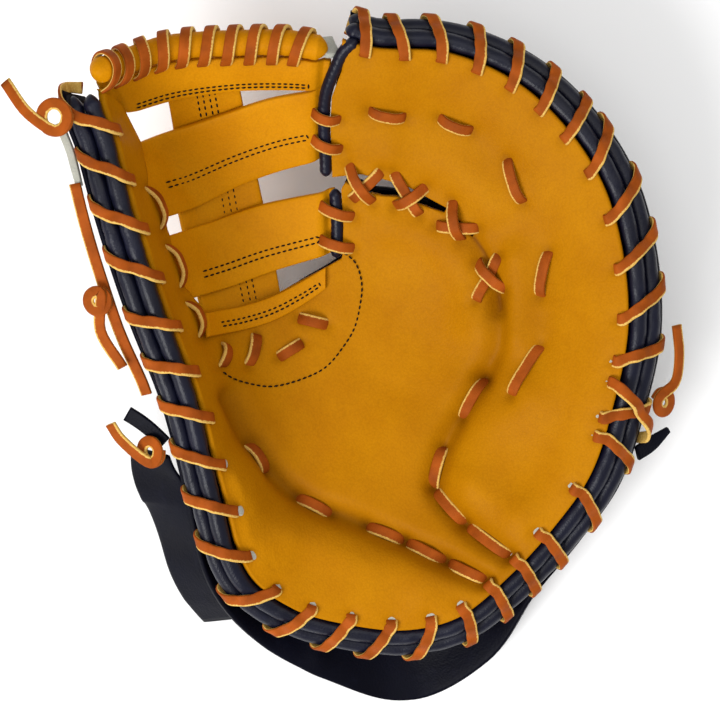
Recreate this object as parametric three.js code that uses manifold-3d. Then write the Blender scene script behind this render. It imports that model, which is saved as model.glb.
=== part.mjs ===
// First baseman mitt for the left hand, lying on its back with the pocket up.
// Millimetres. +X runs from the thumb to the little finger, +Y from the heel to the finger tips,
// +Z up out of the pocket. z = 0 is the surface that the back rests on.
import * as THREE from 'three';
import { mergeVertices } from 'three/addons/utils/BufferGeometryUtils.js';
import Module from 'manifold-3d';

const wasm = await Module();
wasm.setup();

// Driving dimensions
const SPAN = 300; // unit of all plan shares: about the width of the palm side
const DEPTH = 120; // height of the thumb tip's rim above the resting surface
const POCKET_FLOOR = 37; // height of the palm leather at the bottom of the pocket
const PALM_WALL = 3; // palm leather with its felt backing
const BACK_WALL = 2.4; // back leather
const ROLL_DIAMETER = 8.4; // each of the two binding rolls
const LACE_WIDTH = 6; // rawhide lace
const LACE_THICK = 2; // rawhide lace
const HOLE_SETBACK = 5; // from the palm's rim to the middle of a lace hole
const WEB_WALL = 4; // web bars, two leathers sewn back to back
const WEB_ROLL_DIAMETER = 13; // rolled top edge of the web
const EDGE_BINDING = 6; // thin binding on the edges that face the web
const SEAM_THICKNESS = 12; // palm to back where the two meet beside the web
const CLEARANCE = 0.35; // between pieces that touch
const BACK_SEAM = 0.8; // seam between the two halves of the back
const TAB_WALL = 2.2; // straps and tabs
const FELT_WALL = 3; // lining where it shows
const STRAP_WIDTH = 20; // strap at the thumb side of the heel
const TAB_WIDTH = 8; // tabs at both sides of the heel

// Middle of the whole mitt's outline, knots and tails included: it becomes the frame's origin
const MIDDLE = { x: -10.43, y: 0.98 };

// Middle of the pocket, in shares of SPAN
const POCKET = { x: -0.01, y: -0.015 };

// The palm's rim, anticlockwise from the thumb tip. x and y are shares of SPAN and rise is a share
// of DEPTH. steep is the power with which the palm climbs from the pocket to the rim. tilt is how far
// the row of rolls leans down from level, in degrees. entry is how far the back's edge stands off the
// rolls, where the hand goes in, and stall the depth of the hollow behind the palm, shares of SPAN.
const RIM = [
  { at: 'thumb tip', x: -0.423, y: 0.46, rise: 0.983, steep: 5.0, tilt: 20, entry: 0, stall: 0.11 },
  { at: 'thumb nail', x: -0.398, y: 0.358, rise: 0.975, steep: 5.5, tilt: 20, entry: 0, stall: 0.11 },
  { at: 'thumb joint', x: -0.368, y: 0.243, rise: 0.95, steep: 6.0, tilt: 22, entry: 0, stall: 0.12 },
  { at: 'thumb root', x: -0.322, y: 0.097, rise: 0.9, steep: 5.5, tilt: 26, entry: 0, stall: 0.13 },
  { at: 'thumb pad', x: -0.267, y: -0.053, rise: 0.817, steep: 4.5, tilt: 32, entry: 0, stall: 0.14 },
  { at: 'thumb heel', x: -0.227, y: -0.217, rise: 0.7, steep: 3.6, tilt: 40, entry: 0.004, stall: 0.14 },
  { at: 'heel corner', x: -0.183, y: -0.362, rise: 0.583, steep: 3.0, tilt: 50, entry: 0.03, stall: 0.14 },
  { at: 'heel left', x: -0.113, y: -0.42, rise: 0.517, steep: 2.6, tilt: 54, entry: 0.07, stall: 0.14 },
  { at: 'heel middle', x: -0.017, y: -0.448, rise: 0.483, steep: 2.4, tilt: 52, entry: 0.105, stall: 0.14 },
  { at: 'heel right', x: 0.08, y: -0.457, rise: 0.467, steep: 2.4, tilt: 52, entry: 0.135, stall: 0.14 },
  { at: 'heel end', x: 0.167, y: -0.435, rise: 0.483, steep: 2.4, tilt: 52, entry: 0.085, stall: 0.14 },
  { at: 'hinge', x: 0.25, y: -0.367, rise: 0.525, steep: 2.2, tilt: 50, entry: 0.016, stall: 0.13 },
  { at: 'little finger', x: 0.328, y: -0.28, rise: 0.583, steep: 2.0, tilt: 46, entry: 0, stall: 0.12 },
  { at: 'low side', x: 0.387, y: -0.193, rise: 0.65, steep: 1.9, tilt: 44, entry: 0, stall: 0.12 },
  { at: 'side', x: 0.423, y: -0.08, rise: 0.717, steep: 1.8, tilt: 42, entry: 0, stall: 0.14 },
  { at: 'middle side', x: 0.447, y: 0.052, rise: 0.783, steep: 1.8, tilt: 40, entry: 0, stall: 0.15 },
  { at: 'high side', x: 0.435, y: 0.192, rise: 0.825, steep: 1.8, tilt: 40, entry: 0, stall: 0.16 },
  { at: 'shoulder', x: 0.4, y: 0.3, rise: 0.85, steep: 1.8, tilt: 40, entry: 0, stall: 0.17 },
  { at: 'top right', x: 0.333, y: 0.397, rise: 0.867, steep: 1.8, tilt: 42, entry: 0, stall: 0.17 },
  { at: 'top', x: 0.25, y: 0.467, rise: 0.883, steep: 1.9, tilt: 46, entry: 0, stall: 0.17 },
  { at: 'top left', x: 0.142, y: 0.51, rise: 0.892, steep: 2.0, tilt: 50, entry: 0, stall: 0.16 },
  { at: 'finger tip', x: 0.025, y: 0.517, rise: 0.9, steep: 2.1, tilt: 54, entry: 0, stall: 0.13 },
  { at: 'web right', x: -0.058, y: 0.537, rise: 0.9, steep: 2.2, tilt: 50, entry: 0, stall: 0.06 },
  { at: 'web middle', x: -0.2, y: 0.553, rise: 0.883, steep: 2.4, tilt: 40, entry: 0, stall: 0.05 },
  { at: 'web left', x: -0.35, y: 0.537, rise: 0.917, steep: 3.2, tilt: 30, entry: 0, stall: 0.06 },
];
const POCKET_STALL = 0.19; // depth of the hollow behind the middle of the pocket, share of SPAN
const SEAM_REACH = 0.08; // how far from the web the hollow reaches its full depth, share of SPAN
const RIM_START = 0.006; // share of the rim where the rolls begin, at the thumb tip
const RIM_END = 0.857; // share of the rim where they end, at the finger tip

// Edges of the palm that face the web and the slit, shares of SPAN, in order round the opening
const THUMB_EDGE = [
  { x: -0.397, y: 0.427 }, { x: -0.368, y: 0.365 }, { x: -0.35, y: 0.287 },
  { x: -0.327, y: 0.24 }, { x: -0.293, y: 0.125 }, { x: -0.263, y: 0.083 },
];
const BASE_EDGE = [
  { x: -0.263, y: 0.083 }, { x: -0.203, y: 0.092 }, { x: -0.142, y: 0.113 }, { x: -0.055, y: 0.158 },
];
const PALM_EDGE = [
  { x: -0.03, y: 0.172 }, { x: -0.028, y: 0.225 }, { x: -0.032, y: 0.288 },
];
const SLIT_PALM_SIDE = [
  { x: -0.025, y: 0.298 }, { x: 0.022, y: 0.278 }, { x: 0.067, y: 0.275 }, { x: 0.108, y: 0.26 },
  { x: 0.148, y: 0.247 }, { x: 0.19, y: 0.203 }, { x: 0.213, y: 0.163 }, { x: 0.227, y: 0.113 },
  { x: 0.23, y: 0.083 },
];
const SLIT_FINGER_SIDE = [
  { x: 0.235, y: 0.087 }, { x: 0.232, y: 0.117 }, { x: 0.218, y: 0.17 }, { x: 0.195, y: 0.208 },
  { x: 0.15, y: 0.255 }, { x: 0.117, y: 0.273 }, { x: 0.083, y: 0.292 }, { x: 0.042, y: 0.305 },
  { x: 0.002, y: 0.313 }, { x: -0.047, y: 0.308 },
];
const FINGER_EDGE = [
  { x: -0.048, y: 0.35 }, { x: -0.05, y: 0.4 }, { x: -0.047, y: 0.44 }, { x: -0.03, y: 0.483 },
];
const WEB_BEYOND = [
  { x: -0.03, y: 0.62 }, { x: -0.52, y: 0.62 }, { x: -0.47, y: 0.48 },
];

// Web bars: upper and lower edge at stations from the thumb side to the finger side, shares of SPAN
const WEB_BARS = [
  {
    name: 'web_top_bar',
    upper: [
      { x: -0.406, y: 0.462 }, { x: -0.325, y: 0.492 }, { x: -0.213, y: 0.502 }, { x: -0.12, y: 0.502 },
      { x: -0.071, y: 0.494 },
    ],
    lower: [
      { x: -0.38, y: 0.412 }, { x: -0.313, y: 0.433 }, { x: -0.213, y: 0.448 }, { x: -0.133, y: 0.45 },
      { x: -0.076, y: 0.448 },
    ],
  },
  {
    name: 'web_upper_bar',
    upper: [
      { x: -0.359, y: 0.367 }, { x: -0.3, y: 0.387 }, { x: -0.225, y: 0.412 }, { x: -0.15, y: 0.435 },
      { x: -0.076, y: 0.447 },
    ],
    lower: [
      { x: -0.315, y: 0.243 }, { x: -0.267, y: 0.263 }, { x: -0.2, y: 0.295 }, { x: -0.133, y: 0.318 },
      { x: -0.076, y: 0.332 },
    ],
  },
  {
    name: 'web_lower_bar',
    upper: [
      { x: -0.307, y: 0.214 }, { x: -0.25, y: 0.235 }, { x: -0.172, y: 0.26 }, { x: -0.108, y: 0.273 },
      { x: -0.062, y: 0.281 },
    ],
    lower: [
      { x: -0.259, y: 0.112 }, { x: -0.217, y: 0.125 }, { x: -0.158, y: 0.147 }, { x: -0.105, y: 0.163 },
      { x: -0.062, y: 0.175 },
    ],
  },
];
const BASE_BAR = {
  upper: [
    { x: -0.25, y: 0.08 }, { x: -0.203, y: 0.09 }, { x: -0.142, y: 0.111 }, { x: -0.097, y: 0.135 },
    { x: -0.06, y: 0.157 },
  ],
  lower: [
    { x: -0.246, y: 0.04 }, { x: -0.2, y: 0.05 }, { x: -0.147, y: 0.067 }, { x: -0.1, y: 0.092 },
    { x: -0.06, y: 0.12 },
  ],
};
const SPINE = {
  left: [{ x: -0.321, y: 0.44 }, { x: -0.288, y: 0.24 }, { x: -0.256, y: 0.112 }],
  right: [{ x: -0.205, y: 0.452 }, { x: -0.177, y: 0.297 }, { x: -0.14, y: 0.136 }],
};

// Runs of loops of the rim lacing. from and to are shares of the rim, for the first and the last
// hole, and lead is how far the outer end lies along the rim from its hole, as a share of SPAN.
// lift is how many laces it passes over.
const THUMB_RUNS = [
  { run: 'thumb', loops: 4, from: 0.028, to: 0.112, lead: -0.075, lift: 0 },
  { run: 'thumb pad', loops: 7, from: 0.14, to: 0.3, lead: -0.055, lift: 0 },
  { run: 'heel', loops: 4, from: 0.324, to: 0.394, lead: -0.05, lift: 0 },
  { run: 'hinge', loops: 4, from: 0.414, to: 0.475, lead: -0.022, lift: 0 },
  { run: 'little finger', loops: 2, from: 0.507, to: 0.54, lead: -0.042, lift: 0 },
  { run: 'crossing', loops: 1, from: 0.551, to: 0.551, lead: 0.04, lift: 0 },
];
const FINGER_RUNS = [
  { run: 'crossing', loops: 1, from: 0.571, to: 0.571, lead: -0.085, lift: 1.9 },
  { run: 'low side', loops: 1, from: 0.583, to: 0.583, lead: 0.045, lift: 0 },
  { run: 'side', loops: 4, from: 0.607, to: 0.692, lead: 0.068, lift: 0 },
  { run: 'top', loops: 7, from: 0.716, to: 0.843, lead: 0.034, lift: 0 },
];

// Running laces through the palm: each row is one visible stretch, from hole to hole, shares of SPAN
const FINGER_PAD_LACE = [
  { x: 0.013, y: 0.413, toX: 0.077, toY: 0.402 },
  { x: 0.13, y: 0.402, toX: 0.187, toY: 0.38 },
  { x: 0.243, y: 0.335, toX: 0.273, toY: 0.262 },
  { x: 0.313, y: 0.182, toX: 0.3, toY: 0.105 },
  { x: 0.302, y: 0.025, toX: 0.258, toY: -0.06 },
  { x: 0.202, y: -0.033, toX: 0.168, toY: -0.1 },
  { x: 0.137, y: -0.15, toX: 0.127, toY: -0.21 },
  { x: 0.132, y: -0.232, toX: 0.158, toY: -0.26 },
  { x: 0.178, y: -0.28, toX: 0.236, toY: -0.315 },
];
const HEEL_PAD_LACE = [
  { x: -0.173, y: -0.138, toX: -0.147, toY: -0.19 },
  { x: -0.103, y: -0.23, toX: -0.048, toY: -0.26 },
  { x: 0.013, y: -0.28, toX: 0.068, toY: -0.3 },
  { x: 0.083, y: -0.307, toX: 0.138, toY: -0.336 },
  { x: 0.15, y: -0.342, toX: 0.193, toY: -0.364 },
];
const SLIT_LACE_UNDER = [
  { x: 0.036, y: 0.32, toX: -0.017, toY: 0.268 },
  { x: 0.056, y: 0.318, toX: 0.102, toY: 0.244 },
  { x: 0.129, y: 0.228, toX: 0.2, toY: 0.222 },
  { x: 0.235, y: 0.178, toX: 0.198, toY: 0.1 },
];
const SLIT_LACE_OVER = [
  { x: -0.021, y: 0.329, toX: 0.022, toY: 0.263 },
  { x: 0.058, y: 0.26, toX: 0.113, toY: 0.292 },
  { x: 0.155, y: 0.27, toX: 0.17, toY: 0.202 },
  { x: 0.196, y: 0.165, toX: 0.245, toY: 0.118 },
];
const BASE_LACE = [
  { x: -0.225, y: 0.03, toX: -0.23, toY: -0.01 },
  { x: -0.175, y: 0.045, toX: -0.187, toY: -0.008 },
  { x: -0.098, y: 0.03, toX: -0.138, toY: 0.005 },
  { x: -0.055, y: 0.06, toX: -0.105, toY: 0.072 },
];

const FINGER_EDGE_LACE = [
  { x: -0.084, y: 0.415, toX: -0.033, toY: 0.4 },
  { x: -0.084, y: 0.372, toX: -0.03, toY: 0.352 },
];
const PALM_EDGE_LACE = [
  { x: -0.072, y: 0.262, toX: -0.01, toY: 0.24 },
  { x: -0.072, y: 0.205, toX: -0.01, toY: 0.187 },
];
const THUMB_EDGE_LACE = [
  { x: -0.365, y: 0.295, toX: -0.34, toY: 0.218 },
  { x: -0.334, y: 0.196, toX: -0.308, toY: 0.122 },
  { x: -0.3, y: 0.1, toX: -0.276, toY: 0.04 },
];
const BACK_SEAM_LINE = { x: -0.16, toX: -0.06 }; // at one SPAN above and one below the middle

// Pieces beside the rolls, at shares of the rim. beyond and drop are in roll diameters, past the back's
// edge along the row of rolls and below it, wide is a factor on the piece's width and ring one on
// the lace's width.
const THUMB_SIDE_LACE = [
  { share: 0.05, beyond: 0.85, drop: -0.1 }, { share: 0.08, beyond: 1, drop: 0 },
  { share: 0.11, beyond: 1.1, drop: 0.1 }, { share: 0.135, beyond: 1.2, drop: 0.2 },
  { share: 0.16, beyond: 1.05, drop: 0.1 }, { share: 0.17, beyond: 1, drop: 0 },
];
const THUMB_STRAP = [
  { share: 0.21, beyond: 1.68, drop: 0.1, wide: 0.8 }, { share: 0.225, beyond: 2.1, drop: 0.3 },
  { share: 0.24, beyond: 2.2, drop: 0.8 }, { share: 0.255, beyond: 1.9, drop: 0.9, wide: 0.8 },
  { share: 0.272, beyond: 1.7, drop: 0.8, wide: 0.6 }, { share: 0.29, beyond: 2, drop: 0.9, wide: 0.35 },
];
const THUMB_TAB = [
  { share: 0.202, beyond: 0.65, drop: -0.2 }, { share: 0.19, beyond: 1.6, drop: -0.2 },
  { share: 0.178, beyond: 2.6, drop: -0.3 },
];
const PINKY_TAB = [
  { share: 0.536, beyond: 0.63, drop: 0 }, { share: 0.543, beyond: 1.7, drop: 0.1 },
  { share: 0.552, beyond: 2.7, drop: 0.1, wide: 0.4 },
];
const THUMB_TIP_KNOT = {
  centre: { share: 0.01, beyond: 1.47, drop: -0.2 }, ring: 1.15, turns: 1.25, begin: 180,
  tail: [{ share: 0.008, beyond: 3.2, drop: -0.7 }, { share: 0.003, beyond: 4.6, drop: -0.9 }],
};
const THUMB_SIDE_KNOT = {
  centre: { share: 0.118, beyond: 2.46, drop: 0 }, ring: 0.8, turns: 1.125, begin: 90,
  tail: [{ share: 0.128, beyond: 3.1, drop: -0.4 }, { share: 0.14, beyond: 3.2, drop: -0.4 }],
};
const STRAP_KNOT = {
  centre: { share: 0.205, beyond: 1.33, drop: -0.7 }, ring: 0.9, turns: 1.25, begin: 180,
  tail: [{ share: 0.194, beyond: 2.9, drop: -1.3 }, { share: 0.182, beyond: 3.3, drop: -1.3 }],
};
const PINKY_KNOT = {
  centre: { share: 0.568, beyond: 1.32, drop: -0.1 }, ring: 0.8, turns: 1.125, begin: 180,
  tail: [
    { share: 0.582, beyond: 1.8, drop: -0.6 }, { share: 0.6, beyond: 1.9, drop: -0.5 },
    { share: 0.625, beyond: 1.6, drop: -0.3 },
  ],
};
const THUMB_LINING = [
  { share: 0.026, beyond: 0.68, drop: 0.1, wide: 0.5 }, { share: 0.035, beyond: 0.68, drop: 0.1, wide: 0.5 },
  { share: 0.0455, beyond: 0.68, drop: 0.1, wide: 0.5 },
];
const FINGER_LINING = [
  { share: 0.86, beyond: -2.4, drop: 1.6 }, { share: 0.864, beyond: -1.7, drop: 1.6 },
  { share: 0.867, beyond: -1, drop: 1.6 },
];

// Colours and finishes
const FINISHES = {
  palm: { color: 0xcf9127, roughness: 0.6, metalness: 0 },
  black: { color: 0x1a1a24, roughness: 0.5, metalness: 0 },
  lace: { color: 0xb9622a, roughness: 0.65, metalness: 0 },
  felt: { color: 0xa8a89c, roughness: 0.95, metalness: 0 },
};

const clamp = (value, low, high) => Math.min(high, Math.max(low, value));
const mix = (a, b, share) => a + (b - a) * share;
const ease = (low, high, value) => {
  const t = clamp((value - low) / (high - low), 0, 1);
  return t * t * (3 - 2 * t);
};
const plan = (row) => new THREE.Vector3(row.x * SPAN, row.y * SPAN, 0);

// Rim curve in plan, and the other columns along it
const rimCurve = new THREE.CatmullRomCurve3(RIM.map(plan), true, 'centripetal');
rimCurve.arcLengthDivisions = 500;
const pocket = plan(POCKET);

function column(name, share) {
  const wrapped = ((share % 1) + 1) % 1;
  const t = rimCurve.getUtoTmapping(wrapped) * RIM.length;
  const row = Math.floor(t);
  const at = (step) => RIM[(row + step + RIM.length) % RIM.length][name];
  const f = t - row;
  const slopeA = (at(1) - at(-1)) / 2;
  const slopeB = (at(2) - at(0)) / 2;
  const ff = f * f;
  const fff = ff * f;
  return (2 * fff - 3 * ff + 1) * at(0) + (fff - 2 * ff + f) * slopeA
    + (3 * ff - 2 * fff) * at(1) + (fff - ff) * slopeB;
}

const rimPlan = (share) => rimCurve.getPointAt(((share % 1) + 1) % 1);

// Table from the direction seen from the pocket to the share of the rim
const BEARINGS = 720;
const bearings = [];
for (let i = 0; i <= BEARINGS; i += 1) {
  const p = rimPlan(i / BEARINGS).sub(pocket);
  let angle = Math.atan2(p.y, p.x);
  if (i > 0) {
    while (angle < bearings[i - 1]) angle += 2 * Math.PI;
  }
  bearings.push(angle);
}

// Share of the rim, and share of the way out to it, of a point in plan
function locate(x, y) {
  const dx = x - pocket.x;
  const dy = y - pocket.y;
  let angle = Math.atan2(dy, dx);
  while (angle < bearings[0]) angle += 2 * Math.PI;
  while (angle >= bearings[0] + 2 * Math.PI) angle -= 2 * Math.PI;
  let low = 0;
  let high = BEARINGS;
  while (high - low > 1) {
    const middle = (low + high) >> 1;
    if (bearings[middle] <= angle) low = middle;
    else high = middle;
  }
  const share = (low + (angle - bearings[low]) / (bearings[high] - bearings[low])) / BEARINGS;
  return { share, out: Math.hypot(dx, dy) / rimPlan(share).distanceTo(pocket) };
}

// Pocket side of the palm leather: a bowl that climbs to the rim and rounds over just before it
const ROUND_OVER = 0.035; // share of SPAN that the rim drops in its last tenth
function palmPoint(share, out) {
  const point = rimPlan(share).sub(pocket).multiplyScalar(out).add(pocket);
  const climb = Math.pow(out, Math.max(column('steep', share), 1));
  const rounded = ROUND_OVER * SPAN * 0.5 * Math.pow(clamp((out - 0.85) / 0.15, 0, 1.2), 2);
  point.z = mix(POCKET_FLOOR, column('rise', share) * DEPTH, climb) - rounded;
  return point;
}

function palmAt(x, y) {
  const place = locate(x, y);
  return palmPoint(place.share, place.out);
}

function palmNormal(x, y) {
  const step = 1.5;
  const a = palmAt(x + step, y).sub(palmAt(x - step, y));
  const b = palmAt(x, y + step).sub(palmAt(x, y - step));
  return a.cross(b).normalize();
}

// Point above the palm's pocket side at a place in plan, lifted along the surface's normal
function above(x, y, lift) {
  return palmAt(x, y).addScaledVector(palmNormal(x, y), lift);
}

// The row of rolls at a share of the rim: the middles of both rolls, the start of the back's edge,
// the direction of the row and the direction square to it, away from the mitt
function rimRow(share) {
  const along = rimCurve.getTangentAt(((share % 1) + 1) % 1);
  const outward = new THREE.Vector3(along.y, -along.x, 0);
  const tilt = THREE.MathUtils.degToRad(column('tilt', share));
  const row = outward.clone().multiplyScalar(Math.cos(tilt)).setZ(-Math.sin(tilt));
  const away = outward.clone().multiplyScalar(Math.sin(tilt)).setZ(Math.cos(tilt));
  const edge = palmPoint(share, 1);
  const normal = palmNormal(edge.x, edge.y);
  const beyond = along.clone().cross(normal).sub(normal).normalize();
  const first = edge.addScaledVector(normal, -PALM_WALL / 2)
    .addScaledVector(beyond, (PALM_WALL + ROLL_DIAMETER) / 2 + CLEARANCE);
  const second = first.clone().addScaledVector(row, ROLL_DIAMETER + 2 * CLEARANCE);
  const rear = second.clone().addScaledVector(row, ROLL_DIAMETER / 2 + 2 * CLEARANCE
    + column('entry', share) * SPAN);
  return { first, second, rear, row, away };
}

// Distance in plan from a point to a chain of points
function distanceTo(chain, x, y) {
  let best = Infinity;
  for (let i = 0; i + 1 < chain.length; i += 1) {
    const ax = chain[i].x * SPAN;
    const ay = chain[i].y * SPAN;
    const bx = chain[i + 1].x * SPAN - ax;
    const by = chain[i + 1].y * SPAN - ay;
    const t = clamp(((x - ax) * bx + (y - ay) * by) / (bx * bx + by * by), 0, 1);
    best = Math.min(best, Math.hypot(x - ax - t * bx, y - ay - t * by));
  }
  return best;
}

// Outer side of the back: below the palm by the depth of the hollow, which thins beside the web
// and ends at the far side of the rolls, and flat where it would go below the resting surface
const INNER_EDGES = [THUMB_EDGE, BASE_EDGE, [...PALM_EDGE, ...SLIT_PALM_SIDE.slice(0, 5)],
  [...SLIT_FINGER_SIDE.slice(4), ...FINGER_EDGE]];
function backPoint(share, out, inset = 0) {
  const top = palmPoint(share, out);
  const inward = palmNormal(top.x, top.y).negate();
  const { rear, row } = rimRow(share);
  const toEdge = rear.addScaledVector(row, BACK_WALL).sub(palmPoint(share, 1));
  const nearRim = ease(0.76, 1, out);
  const direction = inward.lerp(toEdge.clone().normalize(), nearRim).normalize();
  const fromEdge = Math.min(...INNER_EDGES.map((edge) => distanceTo(edge, top.x, top.y)));
  const stall = mix(POCKET_STALL, column('stall', share), ease(0, 0.5, out)) * SPAN;
  const hollow = mix(SEAM_THICKNESS, stall, ease(0, SEAM_REACH * SPAN, fromEdge));
  const point = top.addScaledVector(direction, mix(hollow, toEdge.length(), nearRim));
  const walled = direction.clone().lerp(row, nearRim).normalize();
  point.addScaledVector(walled, -inset);
  point.z = Math.max(point.z, inset);
  return point;
}

// Solids
function solidFrom(geometry) {
  const bare = geometry.clone();
  bare.deleteAttribute('normal');
  bare.deleteAttribute('uv');
  const merged = mergeVertices(bare, 1e-3);
  const corners = [];
  for (let i = 0; i < merged.index.count; i += 3) {
    const a = merged.index.getX(i);
    const b = merged.index.getX(i + 1);
    const c = merged.index.getX(i + 2);
    if (a !== b && b !== c && c !== a) corners.push(a, b, c);
  }
  return new wasm.Manifold(new wasm.Mesh({
    numProp: 3,
    vertProperties: new Float32Array(merged.attributes.position.array),
    triVerts: new Uint32Array(corners),
  }));
}

function geometryFrom(solid) {
  const mesh = solid.getMesh();
  const geometry = new THREE.BufferGeometry();
  geometry.setAttribute('position', new THREE.BufferAttribute(new Float32Array(mesh.vertProperties), 3));
  geometry.setIndex(new THREE.BufferAttribute(new Uint32Array(mesh.triVerts), 1));
  geometry.computeVertexNormals();
  return geometry;
}

// A bowl with a wall: a lathe of unit radius whose points are moved to the outer and inner surfaces
function bowl(outer, inner, around, stepsOut) {
  const profile = [];
  for (let i = 0; i <= stepsOut; i += 1) profile.push(new THREE.Vector2(i / stepsOut, 0));
  for (let i = stepsOut; i >= 0; i -= 1) profile.push(new THREE.Vector2(i / stepsOut, 1));
  const lathe = new THREE.LatheGeometry(profile, around);
  const position = lathe.attributes.position;
  const rows = profile.length;
  for (let i = 0; i < position.count; i += 1) {
    const out = profile[i % rows].x;
    const share = out > 0 ? (Math.floor(i / rows) % around) / around : 0;
    const place = position.getY(i) > 0.5 ? inner(share, out) : outer(share, out);
    position.setXYZ(i, place.x, place.y, place.z);
  }
  return lathe;
}

// A wall over a grid of two shares: a box of unit size whose points are moved to its two faces
function wall(front, rear, stepsA, stepsB) {
  const box = new THREE.BoxGeometry(1, 1, 1, stepsA, stepsB, 1);
  const position = box.attributes.position;
  for (let i = 0; i < position.count; i += 1) {
    const a = position.getX(i) + 0.5;
    const b = position.getY(i) + 0.5;
    const place = position.getZ(i) > 0 ? front(a, b) : rear(a, b);
    position.setXYZ(i, place.x, place.y, place.z);
  }
  return box;
}

// Place on a flat lace at step k of its path of {point, up, wide}
function onLace(path, k, x, y) {
  const before = path[Math.max(k - 1, 0)].point;
  const after = path[Math.min(k + 1, path.length - 1)].point;
  const along = after.clone().sub(before).normalize();
  const side = path[k].up.clone().cross(along).normalize();
  const up = along.clone().cross(side);
  return path[k].point.clone().addScaledVector(side, x * (path[k].wide ?? 1)).addScaledVector(up, y);
}

// A flat lace along its path: a long box bent to follow it
function strip(path, width, thick) {
  const last = path.length - 1;
  const box = new THREE.BoxGeometry(width, thick, 1, 1, 1, last);
  const position = box.attributes.position;
  for (let i = 0; i < position.count; i += 1) {
    const k = Math.round((position.getZ(i) + 0.5) * last);
    const place = onLace(path, k, position.getX(i), position.getY(i));
    position.setXYZ(i, place.x, place.y, place.z);
  }
  return box;
}

function rod(points, diameter, sides, steps) {
  const curve = new THREE.CatmullRomCurve3(points, false, 'centripetal');
  const circle = new THREE.Shape();
  circle.absarc(0, 0, diameter / 2, 0, 2 * Math.PI);
  const section = new THREE.Shape(circle.getSpacedPoints(sides).slice(0, sides));
  return new THREE.ExtrudeGeometry(section, { steps, extrudePath: curve, curveSegments: 1 });
}

// An upright prism through the whole mitt over an outline in plan
function prism(points) {
  const shape = new THREE.Shape(points.map((p) => new THREE.Vector2(p.x, p.y)));
  const solid = new THREE.ExtrudeGeometry(shape, { depth: 3 * DEPTH, bevelEnabled: false });
  solid.translate(0, 0, -DEPTH);
  return solidFrom(solid);
}

const group = new THREE.Group();
group.name = 'first_base_mitt';

function add(name, geometry, finish) {
  geometry.translate(-MIDDLE.x, -MIDDLE.y, 0);
  const mesh = new THREE.Mesh(geometry, new THREE.MeshStandardMaterial(FINISHES[finish]));
  mesh.name = name;
  group.add(mesh);
}

// Palm and back
const openingRows = [...THUMB_EDGE, ...BASE_EDGE.slice(1), ...PALM_EDGE, ...SLIT_PALM_SIDE,
  ...SLIT_FINGER_SIDE, ...FINGER_EDGE, ...WEB_BEYOND];
const opening = prism(openingRows.map(plan));
const AROUND = 40; // facets round the rim
const STEPS_OUT = 7; // facets from the pocket to the rim

const palmUnder = (share, out) => {
  const top = palmPoint(share, out);
  return top.addScaledVector(palmNormal(top.x, top.y), -PALM_WALL);
};
let palm = solidFrom(bowl(palmUnder, palmPoint, AROUND, STEPS_OUT)).subtract(opening);
let back = solidFrom(bowl(
  (share, out) => backPoint(share, out),
  (share, out) => backPoint(share, out, BACK_WALL),
  AROUND,
  STEPS_OUT,
)).subtract(opening);

// Binding rolls
const ROLL_STEPS = 44;
const ROLL_SIDES = 7;
function rimPoints(pick, from, to, steps) {
  const points = [];
  for (let i = 0; i <= steps; i += 1) points.push(pick(rimRow(mix(from, to, i / steps))));
  return points;
}
const palmRoll = rod(rimPoints((row) => row.first, RIM_START, RIM_END, ROLL_STEPS),
  ROLL_DIAMETER, ROLL_SIDES, ROLL_STEPS);
const backRoll = rod(rimPoints((row) => row.second, RIM_START, RIM_END, ROLL_STEPS),
  ROLL_DIAMETER, ROLL_SIDES, ROLL_STEPS);

// Rim lacing. Each loop comes out of the back, passes over both rolls and goes into the palm.
const rimLength = rimCurve.getLength();
const RIDE = LACE_THICK / 2 + 1.6 * CLEARANCE; // middle of a lace above what it lies on
const HOLE_LEAN = 0.6; // how far a lace leans over as it comes out of a hole
const SLACK = 0.8; // lace thicknesses that a rim loop stands off the rolls
const REAR_HOLE_SETBACK = 10; // from the middle of the roll to the middle of a hole in the back
const REAR_LEAN = 2.4; // a loop leaves the back this much more along the row of rolls than square to it
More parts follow.
